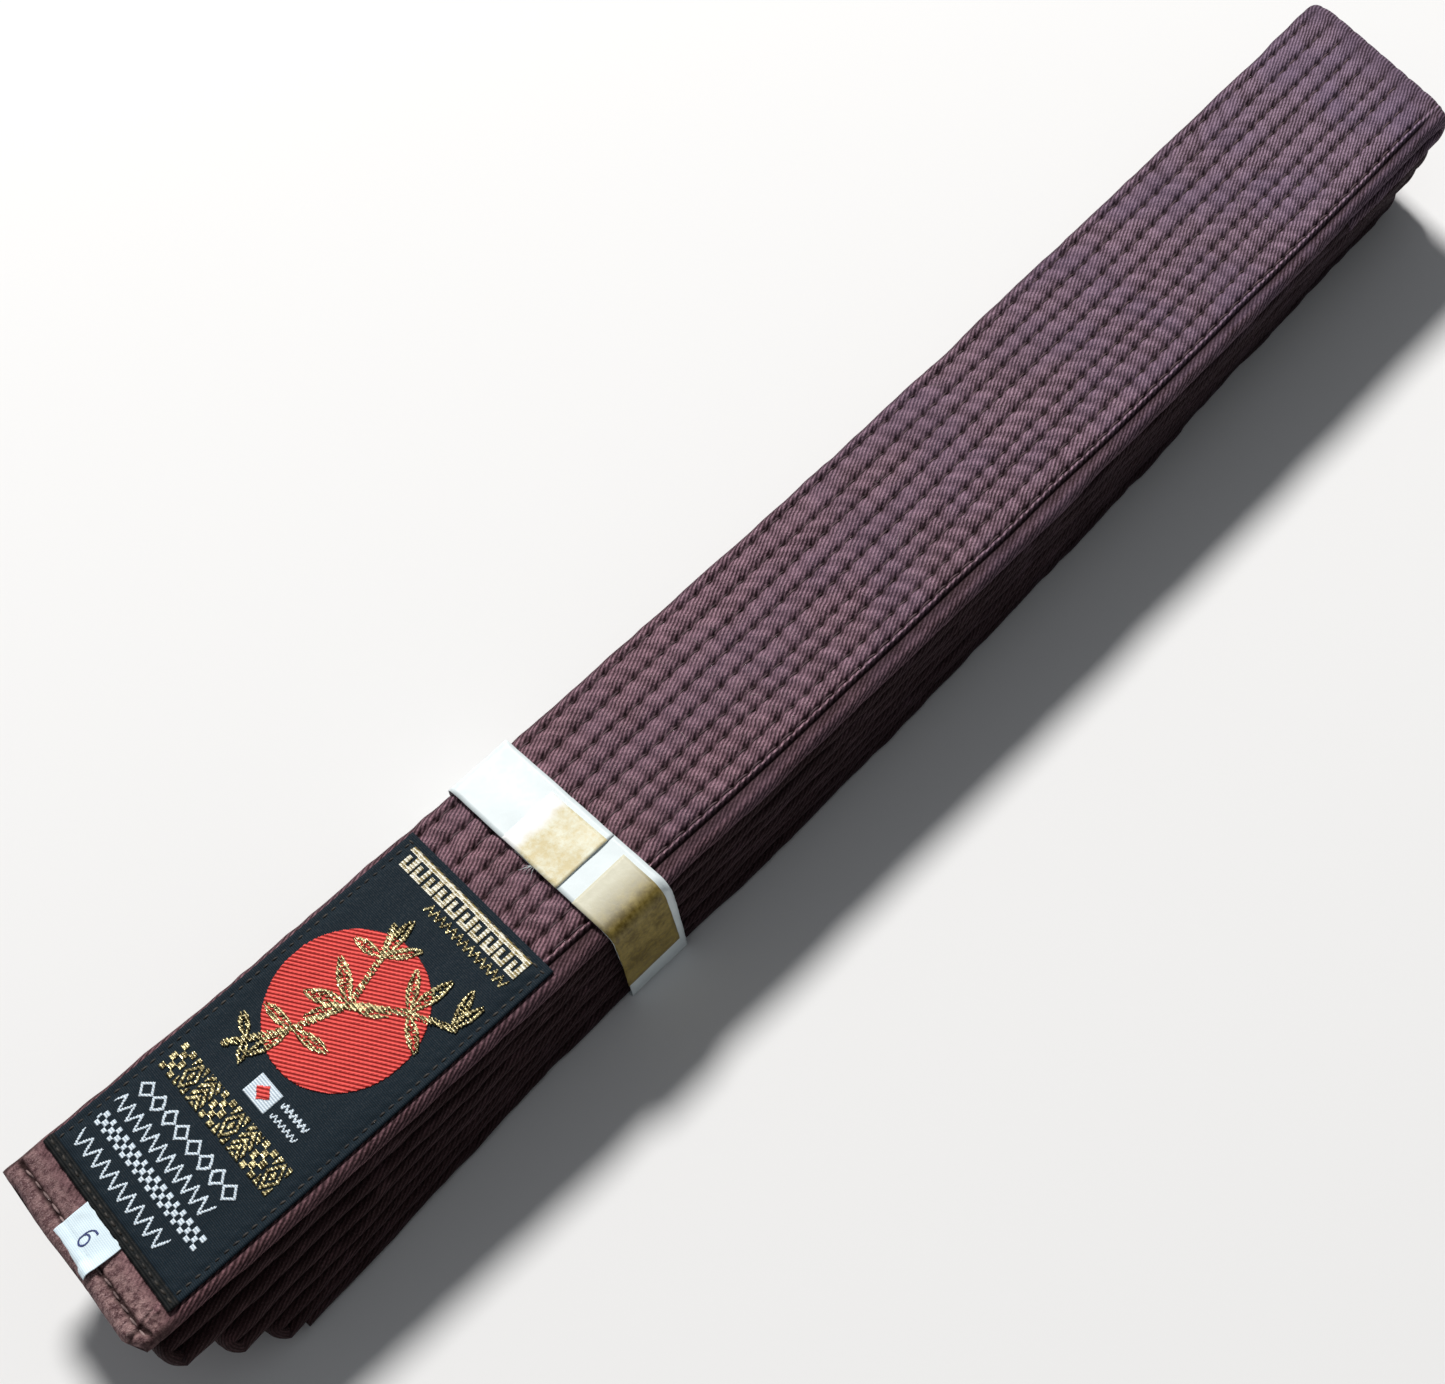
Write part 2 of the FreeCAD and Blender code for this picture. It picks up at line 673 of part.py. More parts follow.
def place_parts():
    """Puts every sub-part in the belt's frame, its origin at the middle of the box's bottom."""
    plain_leg = LEGS - 1
    along = leg_along(plain_leg, PLAIN_END_X)
    plain_end = Placement(Vector(PLAIN_END_X, leg_y(plain_leg, PLAIN_END_X), leg_z(plain_leg)),
                          Rotation(Vector(0, 0, 1), math.degrees(math.atan2(along.y, along.x))))
    label_end = Placement(Vector(0, 0, TOP_Z - THICK / 2),
                          Rotation(Vector(0, 0, 1), LABEL_END_ANGLE))
    band = Placement(Vector(0, bow_y(size("band_x") + size("band_long") / 2), 0), Rotation())
    in_band = {"paper_band", "tape_top", "tape_side"}
    for label, part in parts.items():
        if label.startswith("plain_end"):
            move(part, plain_end)
        elif label in in_band:
            move(part, band)
        elif label.startswith(("label", "size")):
            move(part, label_end)
    doc.recompute()
    box = FreeCAD.BoundBox()
    for part in parts.values():
        box.add(part.Shape.BoundBox)
    shift = Placement(Vector(-box.Center.x, -box.Center.y, -box.ZMin), Rotation())
    for part in parts.values():
        move(part, shift)
    doc.recompute()
    hinge = shift.multiply(label_end).multVec(Vector(HINGE_X, 0, THICK / 2))
    print("box", box.XLength, box.YLength, box.ZLength, "shift", shift.Base)
    print("label end hinge", hinge)


def move(part, placement):
    part.Placement = placement.multiply(part.Placement)


def check_and_export():
    """Stops on a broken object, then writes each sub-part to its own file."""
    for item in doc.Objects:
        broken = {"Invalid", "Error"} & set(item.State)
        if broken:
            raise RuntimeError("%s: %s" % (item.Label, broken))
    os.makedirs("parts", exist_ok=True)
    for label, part in parts.items():
        if part.Shape.isNull() or not part.Shape.isValid() or not part.Shape.Solids:
            raise RuntimeError(label + ": bad shape")
        part.Shape.exportStep("parts/%s.step" % label)
        print(label, len(part.Shape.Solids), round(part.Shape.Volume, 1))


place_parts()
check_and_export()
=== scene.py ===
"""Folded brown martial arts belt: a quilted cotton strap in eight legs, held by a paper band."""

import json
import math

import bpy
import numpy as np
from mathutils import Matrix, Vector


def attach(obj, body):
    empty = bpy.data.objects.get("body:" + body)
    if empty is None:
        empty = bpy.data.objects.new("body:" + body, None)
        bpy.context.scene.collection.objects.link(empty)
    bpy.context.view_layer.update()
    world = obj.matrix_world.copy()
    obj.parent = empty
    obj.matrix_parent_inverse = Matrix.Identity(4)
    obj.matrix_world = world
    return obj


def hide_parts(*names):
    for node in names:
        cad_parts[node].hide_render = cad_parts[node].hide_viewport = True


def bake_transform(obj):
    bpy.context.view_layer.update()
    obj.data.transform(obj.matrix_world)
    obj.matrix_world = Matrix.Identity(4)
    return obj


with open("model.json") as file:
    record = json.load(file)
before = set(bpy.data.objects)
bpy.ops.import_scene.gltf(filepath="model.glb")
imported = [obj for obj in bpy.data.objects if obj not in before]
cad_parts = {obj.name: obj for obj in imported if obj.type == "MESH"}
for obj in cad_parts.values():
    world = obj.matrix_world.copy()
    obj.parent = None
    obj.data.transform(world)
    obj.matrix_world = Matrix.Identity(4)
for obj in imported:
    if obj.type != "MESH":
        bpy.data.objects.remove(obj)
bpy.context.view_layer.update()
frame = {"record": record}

# Sizes below are in millimetres, in the strap's own frame: x from the label end, y across from
# the middle of the strap, z up from the floor. place() turns them into the row frame.
HALF_WIDE = 20.0
THICK = 2.8
HALF_THICK = THICK / 2
TOP_Z = 25.15
FLOOR_GAP = 0.3
LEGS = 8
FOLD_RADIUS = 1.6
FOLD_STEPS = 12
# Points of the mesh round each side of the strap's section.
SIDE_POINTS = 7
HINGE_AT = np.array([92.777, -2.06, TOP_Z])
BAND_NEAR, BAND_FAR = 94.3, 107.6
# Where the label end's piece meets the rest of the top leg, hidden under the paper band.
SPLIT_X = 101.0
# Across the strap, y_right is counted from the edge that has the lap seam.
LIP = 3.9
LIP_TO_ROW = 1.0
SEAM_ROW = LIP + LIP_TO_ROW
ROWS = [8.3, 12.6, 16.0, 20.5, 24.6, 28.8, 32.9, 37.5]
STITCH = 3.65
WALE = 0.67
HEM_STITCH = 2.6
LABEL = dict(x0=7.5, x1=84.4, y0=1.9, y1=38.6)

joints = {j["name"]: j for j in frame["record"]["behaviour"]["joints"]}
SHIFT = np.array(joints["label_end_lift"]["pos_m"]) * 1000 - HINGE_AT


# ---- numbers: smooth seeded noise and easing ----

def smooth(t):
    t = np.clip(t, 0, 1)
    return t * t * (3 - 2 * t)


def ease(x, low, high):
    """0 below low, 1 above high, smooth between."""
    return smooth((np.asarray(x, float) - low) / (high - low))


def noise(x, seed, span):
    """Smooth noise from -1 to 1 along x, with a feature about every span."""
    table = np.random.default_rng(seed).uniform(-1, 1, 4096)
    q = np.asarray(x, float) / span + 1000
    i = np.floor(q).astype(int)
    f = smooth(q - i)
    return table[i % 4096] * (1 - f) + table[(i + 1) % 4096] * f


def noise2(x, y, seed, span):
    """Smooth noise from -1 to 1 over a plane."""
    table = np.random.default_rng(seed).uniform(-1, 1, (256, 256))
    qx, qy = np.asarray(x, float) / span + 500, np.asarray(y, float) / span + 500
    i, j = np.floor(qx).astype(int), np.floor(qy).astype(int)
    f, g = smooth(qx - i), smooth(qy - j)
    i, j = i % 256, j % 256
    i1, j1 = (i + 1) % 256, (j + 1) % 256
    near = table[i, j] * (1 - f) + table[i1, j] * f
    far = table[i, j1] * (1 - f) + table[i1, j1] * f
    return near * (1 - g) + far * g


def plateau(x, rise, full, fade, gone):
    """1 from full to fade, easing to 0 at rise and at gone."""
    return ease(x, rise, full) * (1 - ease(x, fade, gone))


def bell(d, width):
    return np.exp(-(d / width) ** 2)


def from_middle(y, pitch):
    """Distance from the middle of a repeated unit, in the units of y."""
    return ((y / pitch) % 1 - 0.5) * pitch


# ---- where the strap lies ----

FOLD_X = [335.6, 0.8, 333.4, 8.0, 334.6, 14.0, 332.0]
PLAIN_END_X = 20.0
NEAR_FAN = [0.0, -1.6, -3.5, -5.3, -6.5, -7.4, -8.2, -8.6]
FAR_FAN = [0.0, -0.1, 0.7, 1.7, 2.8, 3.8, 4.7, 5.4]
SKEW = 0.29


def centre_y(x):
    """Middle of the strap in plan: a long shallow bow."""
    t = np.asarray(x, float) / 350
    return -16.16 * t * (1 - t) - 4.6 * t * (1 - t) * (1 - 2 * t)


def top_z(x):
    """Nominal top of the stack: it droops at the label end and springs up at the far folds."""
    x = np.asarray(x, float)
    droop = 0.79 * np.clip(1 - x / 120, 0, 1) ** 2
    spring = 2.6 * np.clip((x - 120) / 230, 0, 1.2) ** 2
    return TOP_Z - droop + spring


def leg_z(leg, x):
    """Middle of a leg's thickness; the legs share the height between them evenly."""
    pitch = (top_z(x) - FLOOR_GAP - THICK) / (LEGS - 1)
    return top_z(x) - HALF_THICK - leg * pitch


def leg_y(leg, x):
    x = np.asarray(x, float)
    near = np.clip(1 - x / 92, 0, 1) ** 1.3
    far = ease(x, 110, 330)
    lean = 0.3 * noise(x, 40 + leg, 45) * ease(x, 100, 130)
    return centre_y(x) + NEAR_FAN[leg] * near + FAR_FAN[leg] * far + (lean if leg else 0)


def centre_slope(x):
    return centre_y(x + 0.5) - centre_y(x - 0.5)


def skewed(x, y):
    """The far folds lie askew, the left edge reaching further, and their corners are rounded."""
    corner = 1.6 * np.clip(np.abs(y) / HALF_WIDE, 0, 1.02) ** 9
    return x + SKEW * y * ease(x, 215, 332) ** 1.5 - corner * ease(x, 322, 334)


def place(x, y, z):
    """Points of the strap's frame, in millimetres, in the row frame in metres."""
    points = np.stack(np.broadcast_arrays(x, y, z), axis=-1)
    return (points + SHIFT) / 1000


def top_point(x, y_right, h):
    """A point h above the nominal top face of the top leg."""
    y = y_right - HALF_WIDE
    return place(skewed(x - centre_slope(x) * y, y), centre_y(x) + y, top_z(x) + h)


# ---- relief of the quilted face ----

def seam_place(x):
    """Place across the strap of the lap's lip, wavering and nearing the edge at the far end."""
    return LIP + 0.16 * noise(x, 3, 14) - 1.0 * ease(x, 150, 335)


def row_places(x):
    """Places across the strap of the lap's row and the quilting rows."""
    rows = [seam_place(x) + LIP_TO_ROW]
    for i, row in enumerate(ROWS):
        rows.append(row + 0.22 * noise(x, 10 + i, 26) + 0.08 * noise(x, 30 + i, 6))
    return rows


def stitch_phase(x, row):
    """Position in the run of stitches of a row, one unit to a stitch; the rows drift apart."""
    return x / STITCH + 0.16 * row + 0.42 * noise(x, 50 + row, 42) + 0.1 * noise(x, 60 + row, 9)


# How much each puff swells between its stitches, from the lap outwards.
SWELL = [0.40, 0.46, 0.44, 0.36, 0.30, 0.30, 0.30, 0.30, 0.30]
LAST_PUFF_EDGE = 39.0


def quilt(x, y):
    """Height of the quilted face over the strap: puffs, grooves, stitch holes and puckers."""
    x, y = np.broadcast_arrays(np.asarray(x, float), np.asarray(y, float))
    rows = row_places(x)
    h = np.zeros_like(x)
    for i, (low, high) in enumerate(zip(rows, rows[1:] + [LAST_PUFF_EDGE])):
        f = np.clip((y - low) / np.maximum(high - low, 0.1), 0, 1)
        phase = stitch_phase(x, i) * (1 - f) + stitch_phase(x, min(i + 1, len(ROWS))) * f
        beat = np.cos(math.tau * (phase + 0.5))
        strong = SWELL[i] * (1 - 0.8 * ease(x, 285, 322))
        size = 0.42 + 0.07 * noise(x, 70 + i, 9) + 0.06 * noise(x, 90 + i, 3)
        h = h + size * np.sin(math.pi * f) ** 0.7 * (1 - strong * 0.4 + strong * beat)
    for i, row in enumerate(rows):
        d = y - row
        to_hole = (stitch_phase(x, i) + 0.5) % 1 - 0.5
        h = h - 0.22 * bell(d, 0.36) - 0.50 * bell(d, 0.44) * bell(to_hole * STITCH, 0.55)
        beat = np.cos(math.tau * (stitch_phase(x, i) + 0.5))
        h = h + 0.05 * bell(np.abs(d) - 1.0, 0.7) * beat
    lip = seam_place(x)
    h = np.where(y < lip, 0, h)
    h = h - 0.42 * (1 - ease(y, lip - 0.18, lip + 0.12)) + 0.30 * bell(y - lip - 0.24, 0.30)
    gap = 0.30 - 0.2 * ease(x, 150, 335)
    h = h - gap * bell(y - lip + 0.38, 0.24) + 0.16 * bell(y - lip + 1.5, 0.9)
    h = h + 0.03 * noise2(x, y, 5, 1.1) + 0.05 * noise2(x, y, 6, 5)
    flat = 1 - 0.8 * ease(x, 325, 335)
    return h * flat * plateau(y, 0.9, 2.4, 38.4, 39.3)


def hem_row(y):
    """Place along the strap of the hem's row of stitches."""
    return 2.6 + 0.25 * noise(y, 120, 6) + 0.12 * noise(y, 121, 2)


def hem(x, y):
    """Height of the turned end: a roll, one row of stitches across and a fuzzy flat."""
    to_row = x - hem_row(y)
    h = 0.40 * bell(x - 1.3, 1.0) - 0.42 * bell(to_row, 0.42)
    h = h - 0.2 * bell(to_row, 0.5) * bell(from_middle(y, HEM_STITCH), 0.5)
    h = h + 0.16 * bell(x - 4.4, 1.5)
    h = h + 0.15 * noise2(x, y, 122, 1.3) + 0.15 * noise2(x, y, 123, 4.0)
    crease = bell(y - 3.2 - 0.22 * (x - 2), 0.35) * (1 - ease(x, 5.5, 8.0))
    step = (1 - ease(y, 2.9, 3.5)) * (1 - ease(x, 6, 8)) * 0.25
    return (h - 0.4 * crease - step) * plateau(y, 0.6, 2.0, 38.2, 39.4)


def back(x, y):
    """How far the plain back of the strap stands out: puffs, with grooves between them."""
    return 0.8 * (quilt(x, y) - 0.40) * plateau(y, 4.6, 6.0, 38.0, 39.0)


def under_label(x, y):
    """1 under the label, easing to 0 at its edges."""
    x0, x1, y0, y1 = LABEL.values()
    along = plateau(x, x0 - 0.6, x0 + 0.6, x1 - 0.6, x1 + 0.4)
    return along * plateau(y, y0 - 0.5, y0 + 0.7, y1 - 0.7, y1 + 0.4)


def relief(x, y):
    """Height of the top leg's upper face over its nominal surface."""
    at_end = 1 - ease(x, 6.2, 8.4)
    h = quilt(x, y) * (1 - at_end) + hem(x, y) * at_end
    covered = under_label(x, y)
    return h * (1 - 0.7 * covered) - 0.1 * covered


# ---- meshes ----

def new_object(name, data):
    thing = bpy.data.objects.new(name, data)
    bpy.context.scene.collection.objects.link(thing)
    return thing


def new_mesh(name, points, faces, uv, material, wear_and_painted_light=None):
    """Object from points in metres, faces, and a uv pair in metres for each face corner."""
    mesh = bpy.data.meshes.new(name)
    mesh.from_pydata(points.reshape(-1, 3).tolist(), [], faces)
    mesh.update()
    layer = mesh.uv_layers.new(name="cloth")
    layer.data.foreach_set("uv", np.asarray(uv, np.float32).ravel())
    if wear_and_painted_light is not None:
        spot = mesh.attributes.new("wear_and_painted_light", "FLOAT", "POINT")
        spot.data.foreach_set("value", np.asarray(wear_and_painted_light, np.float32).ravel())
    mesh.polygons.foreach_set("use_smooth", [True] * len(mesh.polygons))
    mesh.materials.append(material)
    return new_object(name, mesh)


def ring_faces(stations, count):
    """Quads of a tube of closed rings, with the column indices that their corners use."""
    i, j = np.meshgrid(np.arange(stations - 1), np.arange(count), indexing="ij")
    k = (j + 1) % count
    quads = np.stack([i * count + j, i * count + k, (i + 1) * count + k, (i + 1) * count + j], -1)
    corners = np.stack([np.stack([i, j], -1), np.stack([i, j + 1], -1),
                        np.stack([i + 1, j + 1], -1), np.stack([i + 1, j], -1)], -2)
    return quads.reshape(-1, 4).tolist(), corners.reshape(-1, 2)


def end_caps(rings, sides):
    """Faces that close a tube of rings at its start and at its end."""
    return [list(range(sides))[::-1], list(range((rings - 1) * sides, rings * sides))]


def slab_faces(keep):
    """Quads of a closed slab over the kept cells of a grid: top points first, then the base's."""
    columns = keep.shape[1] + 1
    count = (keep.shape[0] + 1) * columns
    i, j = np.nonzero(keep)
    a = i * columns + j
    quads = [np.stack([a, a + columns, a + columns + 1, a + 1], -1),
             np.stack([a, a + 1, a + columns + 1, a + columns], -1) + count]
    padded = np.pad(keep, 1)
    for (si, sj), p, q in (((i, j + 1), a, a + 1),
                           ((i + 2, j + 1), a + columns + 1, a + columns),
                           ((i + 1, j), a + columns, a),
                           ((i + 1, j + 2), a + 1, a + columns + 1)):
        open_side = ~padded[si, sj]
        p, q = p[open_side], q[open_side]
        quads.append(np.stack([p, q, q + count, p + count], -1))
    return np.concatenate(quads)


def tube(name, points, u, v, material, wear_and_painted_light=None):
    """Closed tube through rings of points; u along it and v round it give the weave."""
    stations, count = points.shape[:2]
    faces, corners = ring_faces(stations, count)
    v = np.append(v, v[-1] + (v[-1] - v[-2]))
    uv = np.stack([u[corners[:, 0]], v[corners[:, 1]]], -1) / 1000
    faces += end_caps(stations, count)
    caps = np.stack([np.zeros(2 * count), np.tile(v[:count], 2) / 1000], -1)
    caps[:count, 0], caps[count:, 0] = u[0] / 1000, u[-1] / 1000
    caps[:count] = caps[:count][::-1]
    return new_mesh(name, points, faces, np.concatenate([uv, caps]), material, wear_and_painted_light)


def profile(columns, low_columns):
    """Round the strap: y_right and height of each point, whether it is on top, and the girth."""
    turn = np.linspace(0, math.pi, SIDE_POINTS + 2)[1:-1]
    reach = 40 - columns[-1]
    left = np.stack([columns[-1] + reach * np.sin(turn), HALF_THICK * np.cos(turn)], -1)
    low = low_columns[::-1]
    right = np.stack([columns[0] - columns[0] * np.sin(turn), -HALF_THICK * np.cos(turn)], -1)
    y = np.concatenate([columns, left[:, 0], low, right[:, 0]])
    h = np.concatenate([np.full(len(columns), HALF_THICK), left[:, 1],
                        np.full(len(low), -HALF_THICK), right[:, 1]])
    top = np.arange(len(y)) < len(columns)
    round_it = np.concatenate([[0], np.cumsum(np.hypot(np.diff(y), np.diff(h)))]) + columns[0]
    return y, h, top, round_it


def way_of(leg):
    """1 for a leg that runs towards the far folds, -1 for one that comes back."""
    return 1 if leg % 2 == 0 else -1


def leg_run(leg, start, end, step):
    """Stations along a leg: x, y and z of its middle, and x and z of its way up."""
    count = max(2, int(abs(end - start) / step) + 1)
    x = np.linspace(start, end, count)
    return [(a, float(leg_y(leg, a)), float(leg_z(leg, a)), 0.0, way_of(leg)) for a in x]


def fold_run(leg):
    """Stations round the fold from a leg to the next."""
    way = way_of(leg)
    end = FOLD_X[leg] - way * (HALF_THICK + FOLD_RADIUS)
    high, low = float(leg_z(leg, end)), float(leg_z(leg + 1, end))
    y0, y1 = float(leg_y(leg, end)), float(leg_y(leg + 1, end))
    out = []
    for i in range(1, FOLD_STEPS):
        t = i / FOLD_STEPS
        turn = math.pi * t
        out.append((end + way * FOLD_RADIUS * math.sin(turn), y0 * (1 - t) + y1 * t,
                    (high + low) / 2 + (high - low) / 2 * math.cos(turn), math.sin(turn),
                    way * math.cos(turn)))
    return out


def leg_limits(leg):
    inset = way_of(leg) * (HALF_THICK + FOLD_RADIUS)
    start = SPLIT_X if leg == 0 else FOLD_X[leg - 1] + inset
    end = PLAIN_END_X if leg == LEGS - 1 else FOLD_X[leg] - inset
    return start, end


def strap_points(runs, y, h):
    """Rings of points for stations and a profile; the corners of the near folds are rounded."""
    x, yc, z, up_x, up_z = np.array(runs).T
    off = y - HALF_WIDE
    corner = 1.5 * np.clip(np.abs(off) / HALF_WIDE, 0, 1.02) ** 6
    near = x < 100
    px = x[:, None] - centre_slope(x)[:, None] * off + up_x[:, None] * h
    px = px + (up_x * near)[:, None] * corner
    return place(skewed(px, off), yc[:, None] + off, z[:, None] + up_z[:, None] * h)


def arc_length(runs):
    runs = np.array(runs)
    return np.concatenate([[0], np.cumsum(np.hypot(np.diff(runs[:, 0]), np.diff(runs[:, 2])))])


def wavy_edges(u, y, seed):
    """Lets both edges of the strap waver a little along its length."""
    u = np.asarray(u)[:, None]
    right = 0.22 * noise(u, seed, 13) + 0.10 * noise(u, seed + 1, 4)
    left = 0.22 * noise(u, seed + 2, 13) + 0.10 * noise(u, seed + 3, 4)
    return y + right * (1 - ease(y, 0, 3)) + left * ease(y, 37, 40)


# Places of the mesh's columns across the strap, closest at the lap.
FINE = np.concatenate([np.arange(1.3, 2.6, 0.4), np.arange(2.6, 6.4, 0.17),
                       np.arange(6.5, 38.7, 0.37)])
BACK = np.linspace(FINE[0], FINE[-1], 66)
PLAIN_BACK = np.linspace(FINE[0], FINE[-1], 38)
MIDWAY = (np.array(ROWS)[1:] + ROWS[:-1]) / 2
COARSE = np.sort(np.concatenate([[1.3, 2.8, 4.0, SEAM_ROW, 6.6], ROWS, MIDWAY, [38.7]]))


# ---- materials: small node graphs, all in millimetres of cloth ----

GOLD_RIB = 0.62
RED_RIB = 0.68
RIB_SLANT = math.radians(32)


class Graph:
    """Node tree of one material, with short names for the nodes used here."""

    def __init__(self, name, **surface):
        self.material = bpy.data.materials.new(name)
        self.material.use_nodes = True
        self.tree = self.material.node_tree
        self.shader = self.tree.nodes["Principled BSDF"]
        for socket, value in surface.items():
            self.shader.inputs[socket.replace("_", " ")].default_value = value

    def add(self, kind, inputs=(), **settings):
        node = self.tree.nodes.new(kind)
        for key, value in settings.items():
            setattr(node, key, value)
        for key, value in dict(inputs).items():
            self.feed(node.inputs[key], value)
        return node

    def feed(self, socket, value):
        if isinstance(value, bpy.types.NodeSocket):
            self.tree.links.new(value, socket)
        else:
            socket.default_value = value

    def calc(self, operation, a, b=0.0, c=0.0):
        inputs = {0: a, 1: b, 2: c}
        return self.add("ShaderNodeMath", inputs, operation=operation).outputs[0]

    def times(self, a, b, plus=None):
        if plus is None:
            return self.calc("MULTIPLY", a, b)
        return self.calc("MULTIPLY_ADD", a, b, plus)

    def plus(self, a, b):
        return self.calc("ADD", a, b)

    def cloth(self):
        """Place on the cloth in millimetres: along it, across it, and both as a vector."""
        uv = self.add("ShaderNodeUVMap", uv_map="cloth").outputs[0]
        spot = self.add("ShaderNodeVectorMath", {0: uv, 3: 1000.0}, operation="SCALE").outputs[0]
        parts = self.add("ShaderNodeSeparateXYZ", {0: spot})
        return parts.outputs[0], parts.outputs[1], spot

    def noise(self, where, scale, detail=2.0, rough=0.5):
        inputs = {"Vector": where, "Scale": scale, "Detail": detail, "Roughness": rough}
        return self.add("ShaderNodeTexNoise", inputs).outputs["Fac"]

    def spread(self, value, low, high, to_low=0.0, to_high=1.0):
        inputs = {"Value": value, "From Min": low, "From Max": high, "To Min": to_low,
                  "To Max": to_high}
        return self.add("ShaderNodeMapRange", inputs, clamp=True).outputs[0]

    def mix(self, share, a, b, blend="MIX"):
        node = self.add("ShaderNodeMix", data_type="RGBA", blend_type=blend)
        colours = [s for s in node.inputs if s.type == "RGBA"]
        self.feed(node.inputs[0], share)
        for socket, value in zip(colours, (a, b)):
            self.feed(socket, value if isinstance(value, bpy.types.NodeSocket) else (*value, 1))
        return [s for s in node.outputs if s.type == "RGBA"][0]

    def wave(self, value, period, shift=0.0):
        """0 to 1 and back once each period."""
        turn = self.times(value, math.tau / period, shift)
        return self.times(self.calc("SINE", turn), 0.5, 0.5)

    def bump(self, height, depth_mm, strength=1.0):
        bump = self.add("ShaderNodeBump", {"Height": height, "Distance": depth_mm / 1000,
                                           "Strength": strength})
        self.tree.links.new(bump.outputs[0], self.shader.inputs["Normal"])

    def colour(self, value):
        self.feed(self.shader.inputs["Base Color"], value)

    def roughness(self, value):
        self.feed(self.shader.inputs["Roughness"], value)


def twill_material(name):
    """Dyed cotton drill: diagonal wales of short floats, heathered, worn where it stands up;
    painted shade in its hollows and on its sides.
    """
    g = Graph(name, Specular_IOR_Level=0.14, Sheen_Weight=0.06, Sheen_Roughness=0.5,
              Sheen_Tint=(0.75, 0.6, 0.68, 1))
    along, across, spot = g.cloth()
    wander = g.noise(spot, 0.6, 1.0)
    tilt = math.radians(25.5)
    diagonal = g.plus(g.times(along, -math.sin(tilt)),
                      g.times(across, math.cos(tilt), g.times(wander, 0.35)))
    run = g.plus(g.times(along, math.cos(tilt)), g.times(across, math.sin(tilt)))
    # The hem has no wale left: it is crumpled fuzz.
    fuzzy = g.spread(along, 5.0, 8.8, 1.0, 0.0)
    soft = g.times(g.wave(diagonal, WALE), 0.82, 0.09)
    wale = g.times(soft, g.times(fuzzy, -0.85, 1.0))
    step = g.times(g.calc("FLOOR", g.calc("DIVIDE", diagonal, WALE)), 1.7)
    floats = g.wave(g.plus(run, g.times(wander, 1.6)), 0.9, step)
    yarn = g.noise(spot, 3.6, 3.0, 0.7)
    crumple = g.noise(spot, 0.9, 4.0, 0.62)
    height = g.plus(g.times(wale, g.times(floats, 0.34, 0.66)),
                    g.times(yarn, g.times(fuzzy, 0.3, 0.52)))
    height = g.plus(height, g.times(g.times(crumple, fuzzy), 1.8))
    g.bump(height, 0.18, 0.9)
    # Colour: painted shade between the floats, and redder at the label end than at the far folds.
    blotch = g.noise(spot, 0.28, 3.0)
    shade = g.spread(g.plus(g.times(height, 0.62), g.times(blotch, 0.5)), 0.44, 1.0)
    where = g.add("ShaderNodeTexCoord").outputs["Object"]
    row_x = g.add("ShaderNodeSeparateXYZ", {0: where}).outputs[0]
    far = g.spread(row_x, -0.17, 0.16)
    dark = g.mix(far, (0.028, 0.0085, 0.0115), (0.026, 0.0125, 0.023))
    light = g.mix(far, (0.40, 0.198, 0.220), (0.385, 0.264, 0.370))
    body = g.mix(shade, dark, light)
    broad = g.noise(spot, 0.045, 3.0)
    body = g.mix(g.spread(broad, 0.35, 0.7, 0.0, 0.16), body, (0.16, 0.105, 0.12))
    violet = g.times(g.spread(g.noise(spot, 0.07, 2.0), 0.42, 0.62, 0.0, 0.34), far)
    body = g.mix(violet, body, (0.115, 0.085, 0.165))
    hem_light = g.mix(g.spread(across, 6.0, 24.0), (0.32, 0.214, 0.198), (0.195, 0.128, 0.120))
    # Mottled fuzz at the hem, darkest in the crumple's low places: painted shade.
    fuzz = g.mix(g.spread(crumple, 0.40, 0.60), (0.023, 0.010, 0.009), hem_light)
    body = g.mix(g.times(fuzzy, 0.78), body, fuzz)
    # The attribute carries wear and painted light: low values, on sides, fold noses and in
    # grooves, fade the colour to nearly black, a painted shade; high values give paler wear and
    # the lip's painted highlight.
    wear_and_painted_light = g.add("ShaderNodeAttribute", attribute_name="wear_and_painted_light").outputs["Fac"]
    hollow = g.mix(0.92, body, (0.009, 0.0015, 0.001))
    body = g.mix(g.spread(wear_and_painted_light, -0.46, 0.38), hollow, body)
    pale = g.mix(far, (0.50, 0.36, 0.36), (0.44, 0.34, 0.40))
    flecks = g.spread(g.noise(spot, 5.0, 1.0), 0.60, 0.72, 0.0, 0.8)
    tips = g.times(g.plus(g.spread(yarn, 0.52, 0.75), flecks), g.spread(wear_and_painted_light, 0.1, 0.6, 0.08, 0.6))
    g.colour(g.mix(tips, body, pale))
    g.roughness(g.spread(yarn, 0.3, 0.8, 0.82, 0.97))
    return g.material


